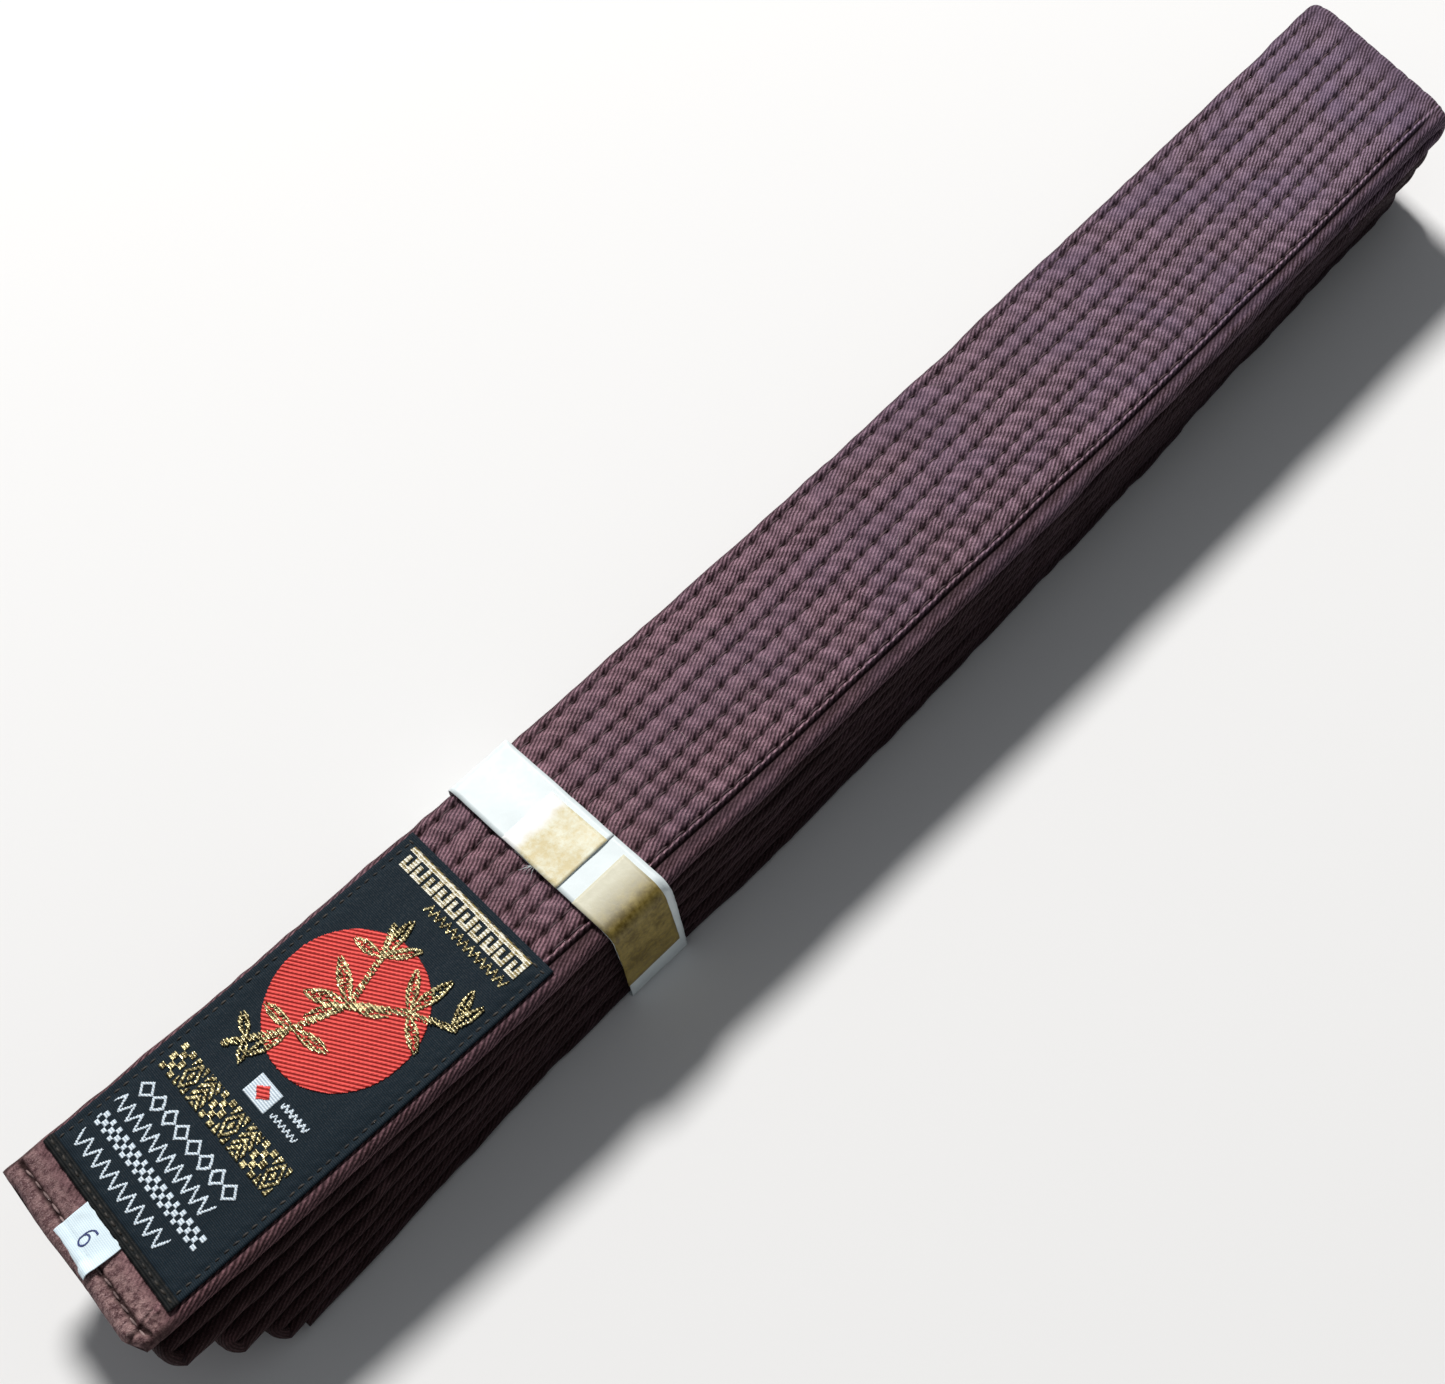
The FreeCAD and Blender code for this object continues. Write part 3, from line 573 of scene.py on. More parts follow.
def yarn_material(name, dark, light, rough=0.6, period=0.5, metal=0.0, depth=0.05, gloss=0.3,
                  slant=0.0, patchy=0.0):
    """Woven yarn: ribs across the label with a finer twist in each, painted shade between them."""
    g = Graph(name, Metallic=metal, Specular_IOR_Level=gloss)
    along, across, spot = g.cloth()
    rib = g.wave(g.times(across, math.sin(slant), g.times(along, math.cos(slant))), period)
    twist = g.wave(g.plus(across, g.times(along, 0.6)), 0.42)
    fray = g.noise(spot, 2.2, 2.0)
    height = g.plus(g.times(rib, g.times(twist, 0.35, 0.65)), g.times(fray, 0.4))
    g.bump(height, depth, 1.0)
    # Where patchy is set, random patches lighter and darker: painted glints and dull reflections
    # of the metal yarn.
    painted_glint_patches = g.spread(g.noise(spot, 0.95, 2.0), 0.40, 0.62, -patchy, patchy)
    g.colour(g.mix(g.spread(g.plus(height, painted_glint_patches), 0.25, 0.95), dark, light))
    g.roughness(g.spread(fray, 0.3, 0.7, rough * 0.8, min(1.0, rough * 1.2)))
    return g.material


def plain_material(name, dark, light, rough, scale, depth):
    """Mottled surface, such as paper or thread."""
    g = Graph(name)
    spot = g.cloth()[2]
    grain = g.noise(spot, scale, 4.0, 0.6)
    patches = g.noise(spot, scale / 7, 3.0)
    g.bump(grain, depth)
    blend = g.plus(g.times(grain, 0.5), g.times(patches, 0.5))
    g.colour(g.mix(g.spread(blend, 0.35, 0.65), dark, light))
    g.roughness(g.spread(grain, 0.3, 0.7, rough - 0.08, min(1.0, rough + 0.08)))
    return g.material


def tape_material(name, pale_from, deep, faint, painted_shoulder_light=False):
    """Aged paper tape: yellowed, blotchy, clear where the glue has not darkened; it may start pale
    with painted light.
    """
    g = Graph(name, Specular_IOR_Level=0.3)
    _, across, spot = g.cloth()
    fine = g.noise(spot, 0.9, 4.0, 0.65)
    broad = g.noise(spot, 0.22, 3.0)
    glue = g.spread(g.plus(fine, g.times(broad, 0.8)), 0.72, 1.1)
    aged = g.mix(glue, deep, faint)
    # Pale at the shoulder and fading down the side: painted light on the shoulder.
    if painted_shoulder_light:
        aged = g.mix(g.spread(across, 2.0, 8.5), (0.66, 0.64, 0.50), aged)
    bare = g.spread(g.plus(across, g.times(broad, 3.0)), pale_from, pale_from + 1.6)
    g.colour(g.mix(bare, aged, (0.90, 0.91, 0.90)))
    g.roughness(g.spread(fine, 0.3, 0.7, 0.35, 0.6))
    g.bump(fine, 0.04)
    return g.material


TWILL = twill_material("brown_twill")
THREAD = plain_material("brown_thread", (0.030, 0.016, 0.020), (0.12, 0.070, 0.082),
                        0.85, 3.0, 0.05)
HEM_THREAD = plain_material("worn_thread", (0.060, 0.034, 0.034), (0.38, 0.27, 0.26),
                            0.85, 1.2, 0.05)
SATIN = yarn_material("black_satin", (0.004, 0.009, 0.014), (0.011, 0.023, 0.034), 0.75, 0.34,
                      depth=0.03, gloss=0.16)
HEM_SATIN = yarn_material("turned_satin", (0.004, 0.006, 0.007), (0.017, 0.018, 0.018), 0.8, 0.5,
                          gloss=0.15)
# The gold's patches are painted glints and dull reflections.
GOLD = yarn_material("gold_yarn", (0.085, 0.060, 0.014), (1.0, 0.87, 0.46), 0.28, GOLD_RIB,
                     metal=0.6, depth=0.14, gloss=0.8, patchy=0.5)
# Paler, non-metallic copy of the gold yarn for the fret: a painted highlight for the glare on its
# strokes.
GOLD_WITH_PAINTED_HIGHLIGHT = yarn_material("gold_yarn_with_painted_highlight", (0.30, 0.22, 0.06), (1.0, 0.98, 0.84), 0.25,
                            GOLD_RIB, depth=0.12, gloss=0.8, patchy=0.3)
WHITE = yarn_material("white_yarn", (0.42, 0.52, 0.62), (0.86, 0.95, 1.0), 0.7, 0.45)
RED = yarn_material("red_yarn", (0.28, 0.008, 0.006), (0.98, 0.125, 0.11), 0.7, RED_RIB,
                    depth=0.10, gloss=0.15, slant=RIB_SLANT)
LABEL_STITCH = plain_material("label_stitch", (0.003, 0.003, 0.004), (0.045, 0.038, 0.03),
                              0.7, 0.7, 0.04)
TAG_CLOTH = yarn_material("tag_ribbon", (0.66, 0.81, 0.91), (0.82, 0.95, 1.0), 0.75, 0.34,
                          depth=0.02)
TAG_INK = plain_material("tag_ink", (0.015, 0.02, 0.09), (0.05, 0.075, 0.26), 0.7, 2.0, 0.02)
PAPER = plain_material("band_paper", (0.66, 0.735, 0.75), (0.745, 0.82, 0.835), 0.45, 0.8, 0.012)
LAP_TAPE = tape_material("aged_tape_top", 11.0, (0.66, 0.56, 0.31), (0.84, 0.84, 0.68))
# Tape down the band's shaded side: its dark colours are aged glue darkened further with painted
# shade.
SIDE_TAPE_PAINTED_SHADE = tape_material("aged_tape_side_painted_shade", 40.0, (0.125, 0.084, 0.010), (0.33, 0.25, 0.065),
                          painted_shoulder_light=True)
LINT = plain_material("lint", (0.35, 0.30, 0.28), (0.65, 0.6, 0.55), 0.9, 2.0, 0.01)


# ---- the strap ----

# Where the top leg's piece, once round the far fold, meets that of the lower legs.
SECOND_SPLIT_X = 300


def face_wear_and_painted_light(x, y, lift, on_top, elsewhere):
    """How pale a point is: raised places, the lap's lip and the hem most, the sides least; wear
    makes places paler, grooves and sides get painted shade, the lip a painted highlight.
    """
    # The lap's lip: paler with wear and a painted highlight.
    lip = 0.6 * bell(y - seam_place(x) - 0.25, 0.30)
    # The hem: paler fuzz, with painted shade in the groove of its stitch row.
    hem_fuzz_and_row_shade = (0.34 - 0.75 * bell(x - 2.8, 0.42)) * (1 - ease(x, 4, 8))
    return np.clip(np.where(on_top, lift + lip + hem_fuzz_and_row_shade, elsewhere), -0.6, 0.9)


def quilted_grid(u, low_columns):
    """Profile and places of a piece of the top leg, its relief and its uneven sides."""
    y, h, top, v = profile(FINE, low_columns)
    grid_u, grid_y = np.broadcast_arrays(u[:, None], wavy_edges(u, y, 200))
    lift = np.where(top, relief(grid_u, grid_y), 0)
    side = 0.12 * noise2(grid_u, h * 3 + grid_y, 7, 2.5)
    return h, top, v, grid_u, grid_y, lift, side


def make_label_end_strap():
    """The free end of the top leg, from its hem to under the paper band."""
    x = np.concatenate([[0.0, 0.12, 0.3, 0.55], np.arange(0.85, SPLIT_X + 0.2, 0.42)])
    runs = [(a, float(leg_y(0, a)), float(top_z(a)) - HALF_THICK, 0.0, 1.0) for a in x]
    h, top, v, grid_x, grid_y, lift, side = quilted_grid(x, BACK)
    underneath = h < -1.3
    below = 0.04 * noise2(grid_x, grid_y, 8, 3) - back(grid_x, grid_y) * ease(grid_x, 5, 9)
    low = np.where(underneath, below, 0)
    roll = np.sqrt(np.clip(1 - (1 - np.clip(x / 1.3, 0, 1)) ** 2, 0.02, 1))[:, None]
    points = strap_points(runs, grid_y + np.where(top, 0, side), (h + lift + low) * roll)
    # The end wavers, and its right corner is tucked in.
    ends = 0.25 * noise(grid_y, 210, 9) + 0.1 * noise(grid_y, 211, 2.5) - 0.7
    points[..., 0] += ends * (1 - ease(x, 0, 3))[:, None] / 1000
    tuck = (1 - ease(x, 0, 5.0))[:, None] * (1 - ease(grid_y, 0, 4.5))
    points[..., 0] += 2.0 * tuck / 1000
    points[..., 2] -= 0.3 * tuck / 1000
    # Underneath, puffs paler and grooves darker with painted shade; the sides get a painted shade.
    wear_and_painted_light = face_wear_and_painted_light(grid_x, grid_y, lift, top, np.where(underneath, 0.25 - low, side - 0.12))
    piece = tube("strap_label_end", points, x, v, TWILL, wear_and_painted_light)
    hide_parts("label_end_cover", "label_end_hem", "label_end_core_ply_top",
                "label_end_core_ply_middle", "label_end_core_ply_bottom")
    return piece


def make_top_strap():
    """The top leg from under the band to the far fold, and the start of the second leg."""
    start, end = leg_limits(0)
    runs = leg_run(0, start - 0.4, end, 0.45) + fold_run(0)
    runs += leg_run(1, end, SECOND_SPLIT_X, 1.1)
    u = start + arc_length(runs)
    h, top, v, grid_u, grid_y, lift, side = quilted_grid(u, PLAIN_BACK)
    points = strap_points(runs, grid_y + np.where(top, 0, side), h + lift)
    # The sides, and the faces beyond the far fold, get a painted shade.
    wear_and_painted_light = face_wear_and_painted_light(grid_u, grid_y, lift, top & (grid_u < 338), side - 0.12)
    piece = tube("strap_top_leg", points, u, v, TWILL, wear_and_painted_light)
    return piece, u[-1]


def make_lower_strap(first_u):
    """The other seven legs and their folds, down to the plain end on the floor."""
    runs = leg_run(1, SECOND_SPLIT_X + 1.5, leg_limits(1)[1], 1.5)
    for leg in range(1, LEGS - 1):
        runs += fold_run(leg)
        start, end = leg_limits(leg + 1)
        runs += leg_run(leg + 1, start, end, 1.7)
    u = first_u + arc_length(runs)
    y, h, _, v = profile(COARSE, COARSE)
    to_row = np.min(np.abs(y[:, None] - np.array([SEAM_ROW] + ROWS)), axis=1)
    y = wavy_edges(u, np.broadcast_to(y, (len(u), len(y))), 230)
    grid_u = np.broadcast_to(u[:, None], y.shape)
    face = np.abs(h) > HALF_THICK - 0.01
    groove = np.where(face, 0.32 * bell(to_row, 0.9), 0) + 0.05 * noise2(grid_u, y, 10, 2.5) * face
    side = 0.2 * noise2(grid_u, h * 3 + y, 9, 3.2)
    points = strap_points(runs, y + np.where(face, 0, side), h - np.sign(h) * groove)
    # Flat faces keep a middle value with painted shade in the row grooves; the sides, edges and
    # fold noses get a deep painted shade.
    lying = (np.abs(np.array(runs)[:, 4]) > 0.95)[:, None]
    shown = face * lying * plateau(y, 2.2, 4.5, 36, 38.5)
    wear_and_painted_light = shown * (0.25 - 1.6 * groove) + (1 - shown) * (side - 0.52)
    piece = tube("strap_lower_legs", points, u, v, TWILL, wear_and_painted_light)
    return piece


# ---- stitches: each one is a small bead of thread that dips into the cloth at both ends ----

BEAD_RINGS, BEAD_SIDES = 7, 6


def beads(centres, along, up, length, width, height):
    """Points and faces of many small tapered beads; one row of each array per bead."""
    t = np.linspace(-1, 1, BEAD_RINGS)
    turn = np.linspace(0, math.tau, BEAD_SIDES, endpoint=False)
    across = np.cross(up, along) * 1000
    thin = np.sqrt(np.clip(1 - t ** 2, 0.06, 1))
    ring = np.stack([np.cos(turn), np.sin(turn)], -1)
    spots = (centres[:, None, None] + along[:, None, None] * (t * length / 2)[:, None, None]
             + across[:, None, None] * (thin[:, None] * ring[:, 0] * width / 2)[..., None]
             + up[:, None, None] * ((thin[:, None] * (ring[:, 1] * height / 2))
                                    - (t ** 2 * height * 0.6)[:, None])[..., None])
    quads, corners = ring_faces(BEAD_RINGS, BEAD_SIDES)
    first = BEAD_RINGS * BEAD_SIDES * np.arange(len(centres))[:, None, None]
    faces = (np.array(quads) + first).reshape(-1, 4).tolist()
    for cap in end_caps(BEAD_RINGS, BEAD_SIDES):
        faces += (np.array(cap) + first[:, 0]).tolist()
    quad_uv = corners * [0.5, 0.2]
    uv = (quad_uv + centres[:, None, :2] * 1000).reshape(-1, 2) / 1000
    cap_uv = np.repeat(centres[:, :2], BEAD_SIDES, axis=0)
    return spots, faces, np.concatenate([uv, cap_uv, cap_uv])


def stitch_row(xs, ys, h, seed, length, width, height, across=False):
    """Beads on the top leg, at places given in cloth coordinates."""
    rng = np.random.default_rng(seed)
    xs, ys = np.asarray(xs, float), np.asarray(ys, float)
    centres = top_point(xs, ys, h)
    dx, dy = (0, 0.5) if across else (0.5, 0)
    ahead = top_point(xs + dx, ys + dy, h) - top_point(xs - dx, ys - dy, h)
    turn = rng.normal(0, 0.07, len(xs))
    ahead[:, 2] = 0
    ahead /= np.linalg.norm(ahead, axis=1)[:, None]
    side = np.stack([-ahead[:, 1], ahead[:, 0], ahead[:, 2]], -1)
    ahead = ahead * np.cos(turn)[:, None] + side * np.sin(turn)[:, None]
    up = np.broadcast_to([0.0, 0.0, 1.0], ahead.shape)
    size = 1 + rng.normal(0, 0.06, len(xs))
    points, faces, uv = beads(centres, ahead * size[:, None] / 1000, up / 1000,
                              length, width, height)
    return points.reshape(-1, 3), faces, uv


def merged(name, groups, material):
    """One piece from several groups of points, faces and uv."""
    points, faces, uv, base = [], [], [], 0
    for p, f, t in groups:
        points.append(p)
        faces += [[i + base for i in face] for face in f]
        uv.append(t)
        base += len(p)
    return new_mesh(name, np.concatenate(points), faces, np.concatenate(uv), material)


def quilting_beads(x_from, x_to):
    """Stitches of the lap's row and of every quilting row, between two places on the strap."""
    groups = []
    fine = np.linspace(x_from, x_to, 900)
    for i in range(len(ROWS) + 1):
        phase = stitch_phase(fine, i)
        beats = np.arange(math.ceil(phase[0]), math.floor(phase[-1])) + 0.5
        xs = np.interp(beats, phase, fine)
        ys = np.array([row_places(a)[i] for a in xs])
        h = quilt(xs, ys) + 0.12
        groups.append(stitch_row(xs, ys, h, 300 + i, 2.9, 0.42, 0.34))
    return groups


def make_threads():
    """Quilting and lap-seam stitches of the top leg, in a piece for each body."""
    top = merged("quilting_stitches", quilting_beads(SPLIT_X + 0.5, 331), THREAD)
    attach(top, "belt")
    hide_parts("quilting_thread", "seam_thread")
    near = merged("label_end_stitches", quilting_beads(85.2, SPLIT_X - 0.5), THREAD)
    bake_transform(near)
    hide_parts("label_end_quilting_thread", "label_end_seam_thread")
    ys = np.arange(2.2, 38.4, HEM_STITCH)
    xs = hem_row(ys)
    row = stitch_row(xs, ys, hem(xs, ys) + 0.20, 320, 2.1, 0.4, 0.4, across=True)
    end = merged("hem_stitches", [row], HEM_THREAD)
    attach(end, "label_end")
    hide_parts("label_end_hem_thread")


def row_point(x):
    """Point over the middle of the strap, for a call that wants one, in metres."""
    return tuple(float(a) for a in place(x, float(centre_y(x)), TOP_Z))


FOLD_START = row_point(95.0)
FOLD_END = row_point(84.0)

label_end_strap = make_label_end_strap()
top_strap, top_end = make_top_strap()
lower_strap = make_lower_strap(top_end)
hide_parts("cover", "core_ply_top", "core_ply_middle", "core_ply_bottom",
            "plain_end_hem", "plain_end_hem_thread")
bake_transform(label_end_strap)
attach(top_strap, "belt")
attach(lower_strap, "belt")
make_threads()


# ---- the woven label ----

SEAM_INSET = 1.35


def label_face(x, y):
    """Height of the label's face over the top leg's nominal surface."""
    x, y = np.broadcast_arrays(np.asarray(x, float), np.asarray(y, float))
    to_edge = np.minimum(np.minimum(x - LABEL["x0"], LABEL["x1"] - x),
                         np.minimum(y - LABEL["y0"], LABEL["y1"] - y))
    rows = 0.03 * np.cos(math.tau * (y - 6.2) / 4.15) * ease(to_edge, 1, 4)
    waves = 0.26 * noise2(x, y, 400, 15) + 0.06 * noise2(x, y, 401, 6)
    stitched = 0.24 * bell(to_edge - SEAM_INSET, 0.55)
    tension = 0.05 * bell(to_edge - 2.4, 1.0) * np.sin((x + y) * 2.3 + 2 * noise(x + y, 402, 6))
    edge = 0.12 * bell(to_edge, 0.6)
    return 0.50 + rows + waves * ease(to_edge, 0.5, 5) - stitched + tension - edge


def slab(name, x, y, high, low, material, keep=None):
    """Closed thin piece on the top leg over a grid of places, or over the kept cells of it."""
    gx, gy = np.meshgrid(x, y, indexing="ij")
    layers = [top_point(gx, gy, face(gx, gy)).reshape(-1, 3) for face in (high, low)]
    if keep is None:
        keep = np.ones((len(x) - 1, len(y) - 1), bool)
    used, faces = np.unique(slab_faces(keep), return_inverse=True)
    faces = faces.reshape(-1, 4)
    uv = np.tile(np.stack([gx.ravel(), gy.ravel()], -1) / 1000, (2, 1))[used][faces]
    return new_mesh(name, np.concatenate(layers)[used], faces.tolist(), uv, material)


def make_label_ground():
    x = np.arange(LABEL["x0"], LABEL["x1"] + 0.3, 0.45)
    y = np.linspace(LABEL["y0"], LABEL["y1"], 84)
    ground = slab("label_satin", x, y, label_face, lambda gx, gy: label_face(gx, gy) - 0.3, SATIN)
    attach(ground, "label_end")
    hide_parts("label_ground")
    return ground


def cell_middles(x, y):
    return np.meshgrid((x[1:] + x[:-1]) / 2, (y[1:] + y[:-1]) / 2, indexing="ij")


def on_label(name, node, mask, bounds, material, cell, high, ribs, period=GOLD_RIB,
             slant=0.0):
    """Raised yarn over the cells of the label that a mask picks out, with ribs across it."""
    x0, x1, y0, y1 = bounds
    x = np.arange(x0, x1 + cell, cell)
    y = np.arange(y0, y1 + cell, cell)

    def face(px, py):
        run = px * math.cos(slant) + py * math.sin(slant)
        yarn = ribs * np.sin(math.tau * run / period) + 0.03 * noise2(px, py, 410, 0.5)
        return label_face(px, py) + high + yarn

    piece = slab(name, x, y, face, lambda px, py: label_face(px, py) - 0.02, material,
                 mask(*cell_middles(x, y)))
    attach(piece, "label_end")
    if node:
        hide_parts(node)
    return piece


def repeat(y, pitch, start):
    """Place within a repeated unit, and its number."""
    q = (y - start) / pitch
    return (q - np.floor(q)) * pitch, np.floor(q).astype(int)


def within(x, y, x0, x1, y0, y1):
    return (x > x0) & (x < x1) & (y > y0) & (y < y1)


def near_line(px, py, ax, ay, bx, by, width):
    """Whether points lie within half a width of a straight stroke."""
    dx, dy = bx - ax, by - ay
    t = np.clip(((px - ax) * dx + (py - ay) * dy) / (dx * dx + dy * dy), 0, 1)
    return np.hypot(px - ax - t * dx, py - ay - t * dy) < width / 2


def zigzag(x, y, x0, length, y0, y1, pitch, width):
    """Row of slanting strokes, up and down in turn."""
    at, _ = repeat(y, pitch, y0)
    rise = np.abs(2 * at / pitch - 1) * length
    stroke = np.abs(x - x0 - rise) < width * (0.6 + length / pitch / 2)
    return stroke & within(x, y, x0 - 0.1, x0 + length + 0.1, y0, y1)


def checks(x, y, x0, length, y0, y1, pitch):
    """Row of small squares, three high, filled by turns."""
    column = np.floor((y - y0) / pitch)
    line = np.floor((x - x0) / length * 3)
    return within(x, y, x0, x0 + length, y0, y1) & ((column + line) % 2 == 0)


def diamonds(x, y, x0, length, y0, y1, pitch, width):
    """Row of diamond outlines."""
    at, _ = repeat(y, pitch, y0)
    reach = np.abs(at / pitch - 0.5) * 2 + np.abs((x - x0) / length - 0.5) * 2
    hollow = 0.98 - width * 5 / (pitch + length)
    return (y > y0) & (y < y1) & (reach < 0.98) & (reach > hollow)


def title_mask(x, y):
    """Fret border: a meander between two rails."""
    y0, y1, x0, x1 = 5.4, 36.0, 78.8, 83.0
    at, _ = repeat(y, 3.06, y0)
    t = (x - x0) / (x1 - x0)
    rail = t > 0.77
    upright = at < 0.96
    foot = (t < 0.22) & (at < 2.55)
    hook = (at > 1.68) & (at < 2.55) & (t < 0.60)
    return within(x, y, x0, x1, y0, y1) & (rail | upright | foot | hook)


def subtitle_mask(x, y):
    return zigzag(x, y, 76.4, 1.7, 5.6, 26.0, 1.5, 0.34)


def second_row_mask(x, y):
    """Row of lattice motifs: nested diamonds, a checker and chevrons by turns."""
    y0, y1, x0, length, pitch = 5.9, 36.3, 28.3, 5.8, 3.8
    at, number = repeat(y, pitch, y0)
    u, v = (x - x0) / length * 2 - 1, at / (pitch * 0.86) * 2 - 1
    inside = within(u, y, -1, 1, y0, y1) & (np.abs(v) < 1)
    rhomb = np.abs(u) + np.abs(v)
    nested = ((rhomb > 0.66) & (rhomb < 1.0)) | (rhomb < 0.34) | (rhomb > 1.34)
    checker = (np.floor((u + 1) * 2.5) + np.floor((v + 1) * 1.5)) % 2 == 0
    chevrons = ((u + np.abs(v) * 0.7) / 0.52) % 1 < 0.6
    return inside & np.choose(number % 3, [nested, checker, chevrons])


def white_mask(x, y):
    """Four rows of plain marks, and two small ones beside the patch."""
    rows = diamonds(x, y, 22.9, 3.6, 8.6, 35.4, 3.35, 0.5)
    rows |= zigzag(x, y, 19.1, 2.7, 9.9, 36.0, 2.3, 0.4)
    rows |= checks(x, y, 15.1, 2.8, 6.8, 35.8, 0.92)
    rows |= zigzag(x, y, 10.9, 2.7, 10.6, 35.6, 2.5, 0.4)
    for x0 in (36.4, 38.7):
        rows |= zigzag(x, y, x0, 1.1, 9.4, 15.8, 1.1, 0.28)
    return rows


def disc_mask(x, y):
    return np.hypot(x - 56.3, y - 21.4) < 14.2


def leaf(px, py, ax, ay, angle, length, width):
    """Lens-shaped leaf with a bare midrib and a broken, woven fill."""
    c, s = math.cos(math.radians(angle)), math.sin(math.radians(angle))
    u = ((px - ax) * c + (py - ay) * s) / length
    v = -(px - ax) * s + (py - ay) * c
    edge = width / 2 * 4 * u * (1 - u)
    inside = (u > 0) & (u < 1) & (np.abs(v) < edge)
    rim = np.abs(v) > edge - 0.42
    hatch = ((px * 0.9 + py * 1.3) / 0.95) % 1 < 0.55
    return inside & (np.abs(v) > 0.13) & (rim | hatch)


# Both ends of each stalk.
STALKS = [(38.6, 31.2, 47.5, 25.4), (48.1, 25.1, 57.0, 21.6), (57.6, 21.6, 66.0, 24.2),
          (66.6, 24.4, 71.0, 27.0), (57.0, 21.4, 63.0, 13.6), (63.3, 13.1, 66.6, 5.9)]
# Where each leaf is joined, its heading in degrees, its length and its width.
LEAVES = [(47.8, 25.2, 168, 8.5, 2.4), (48, 25, 95, 7.5, 2.2), (48, 25, -78, 8.2, 2.3),
          (57.2, 21.6, 118, 9.0, 2.6), (57.2, 21.6, 150, 8.0, 2.2), (57.2, 21.6, -62, 7.6, 2.3),
          (57.2, 21.6, 62, 9.5, 2.6), (66.2, 24.3, 100, 6.5, 2.1), (66.2, 24.3, 8, 8.4, 2.3),
          (66.2, 24.3, -38, 7.4, 2.0), (63.2, 13.4, -8, 9.2, 2.4), (63.2, 13.4, -120, 7.8, 2.2),
          (63.2, 13.4, 40, 8.0, 2.2), (66.4, 6.2, 20, 7.6, 2.0), (66.4, 6.2, -10, 6.6, 1.7),
          (41.5, 29.4, 60, 5.4, 1.9), (41.5, 29.4, -140, 4.6, 1.7)]


def emblem_mask(x, y):
    """Spray of bamboo across the disc."""
    out = np.zeros(x.shape, bool)
    for stalk in STALKS:
        out |= near_line(x, y, *stalk, 1.25) & (((x + y * 0.4) / 0.9) % 1 < 0.72)
    for one in LEAVES:
        out |= leaf(x, y, *one)
    return out


PATCH_X, PATCH_Y = 38.1, 19.7


def patch_mask(x, y):
    return (np.abs(x - PATCH_X) < 2.1) & (np.abs(y - PATCH_Y) < 2.8)


def patch_mark_mask(x, y):
    return np.abs(x - PATCH_X) / 1.5 + np.abs(y - PATCH_Y) / 1.7 < 1


def make_label():
    ground = make_label_ground()
    marks = [
        on_label("label_red_disc", "label_disc", disc_mask, (41.8, 70.8, 6.9, 35.9),
                 RED, 0.2, 0.13, 0.05, RED_RIB, RIB_SLANT),
        on_label("label_spray", "label_emblem", emblem_mask, (36.5, 76, 4.5, 35),
                 GOLD, 0.24, 0.27, 0.05),
        on_label("label_fret", "label_title_row", title_mask, (78.6, 83.4, 5.2, 36.4),
                 GOLD_WITH_PAINTED_HIGHLIGHT, 0.21, 0.16, 0.05),
        on_label("label_small_row", None, subtitle_mask, (76.2, 78.4, 5.4, 26.2),
                 GOLD, 0.17, 0.14, 0.04),
        on_label("label_lattice", "label_second_row", second_row_mask, (28.1, 34.4, 5.7, 36.6),
                 GOLD, 0.22, 0.16, 0.05),
        on_label("label_white_marks", "label_white_rows", white_mask, (10.6, 40.4, 6.4, 36.3),
                 WHITE, 0.2, 0.11, 0.02),
        on_label("label_white_patch", "label_patch", patch_mask, (35.9, 40.4, 16.8, 22.7),
                 WHITE, 0.3, 0.10, 0.03),
        on_label("label_patch_mark", None, patch_mark_mask, (36.2, 40.0, 17.8, 21.6),
                 RED, 0.2, 0.17, 0.03)]
    marks += make_label_edges()


def make_label_edges():
    """Turned near edge, and the stitches round the label."""
    y = np.linspace(LABEL["y0"] - 0.1, LABEL["y1"] + 0.1, 130)
    x = np.linspace(7.25, 9.35, 12)

    def rolled(gx, gy):
        arch = np.sqrt(np.clip(1 - ((gx - 8.3) / 1.06) ** 2, 0, 1))
        bite = 0.12 * bell(from_middle(gy, 2.2), 0.5)
        return label_face(gx, gy) + 0.05 + 0.34 * arch + 0.08 * noise2(gx, gy, 420, 1.4) - bite

    turned = slab("label_turned_hem", x, y, rolled, lambda gx, gy: label_face(gx, gy) - 0.05,
                  HEM_SATIN)
    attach(turned, "label_end")
    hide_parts("label_turned_edge")
    ring = []
    inset = SEAM_INSET
    ys = np.arange(LABEL["y0"] + 1.2, LABEL["y1"] - 1, 1.8)
    for x_row, seed, lift in ((LABEL["x1"] - inset, 430, 0.05), (8.45, 431, 0.4)):
        xs = x_row + 0.1 * noise(ys, seed, 5)
        ring.append(stitch_row(xs, ys, label_face(xs, ys) + lift, seed, 1.45, 0.46, 0.42,
                               across=True))
    xs = np.arange(LABEL["x0"] + 2.6, LABEL["x1"] - 1, 1.8)
    for y_row, seed in ((LABEL["y0"] + inset, 432), (LABEL["y1"] - inset, 433)):
        ys = y_row + 0.1 * noise(xs, seed, 5)
        ring.append(stitch_row(xs, ys, label_face(xs, ys) + 0.05, seed, 1.45, 0.46, 0.42))
    stitches = merged("label_stitches", ring, LABEL_STITCH)
    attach(stitches, "label_end")
    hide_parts("label_thread")
    return [turned, stitches]


# ---- the size tag ----

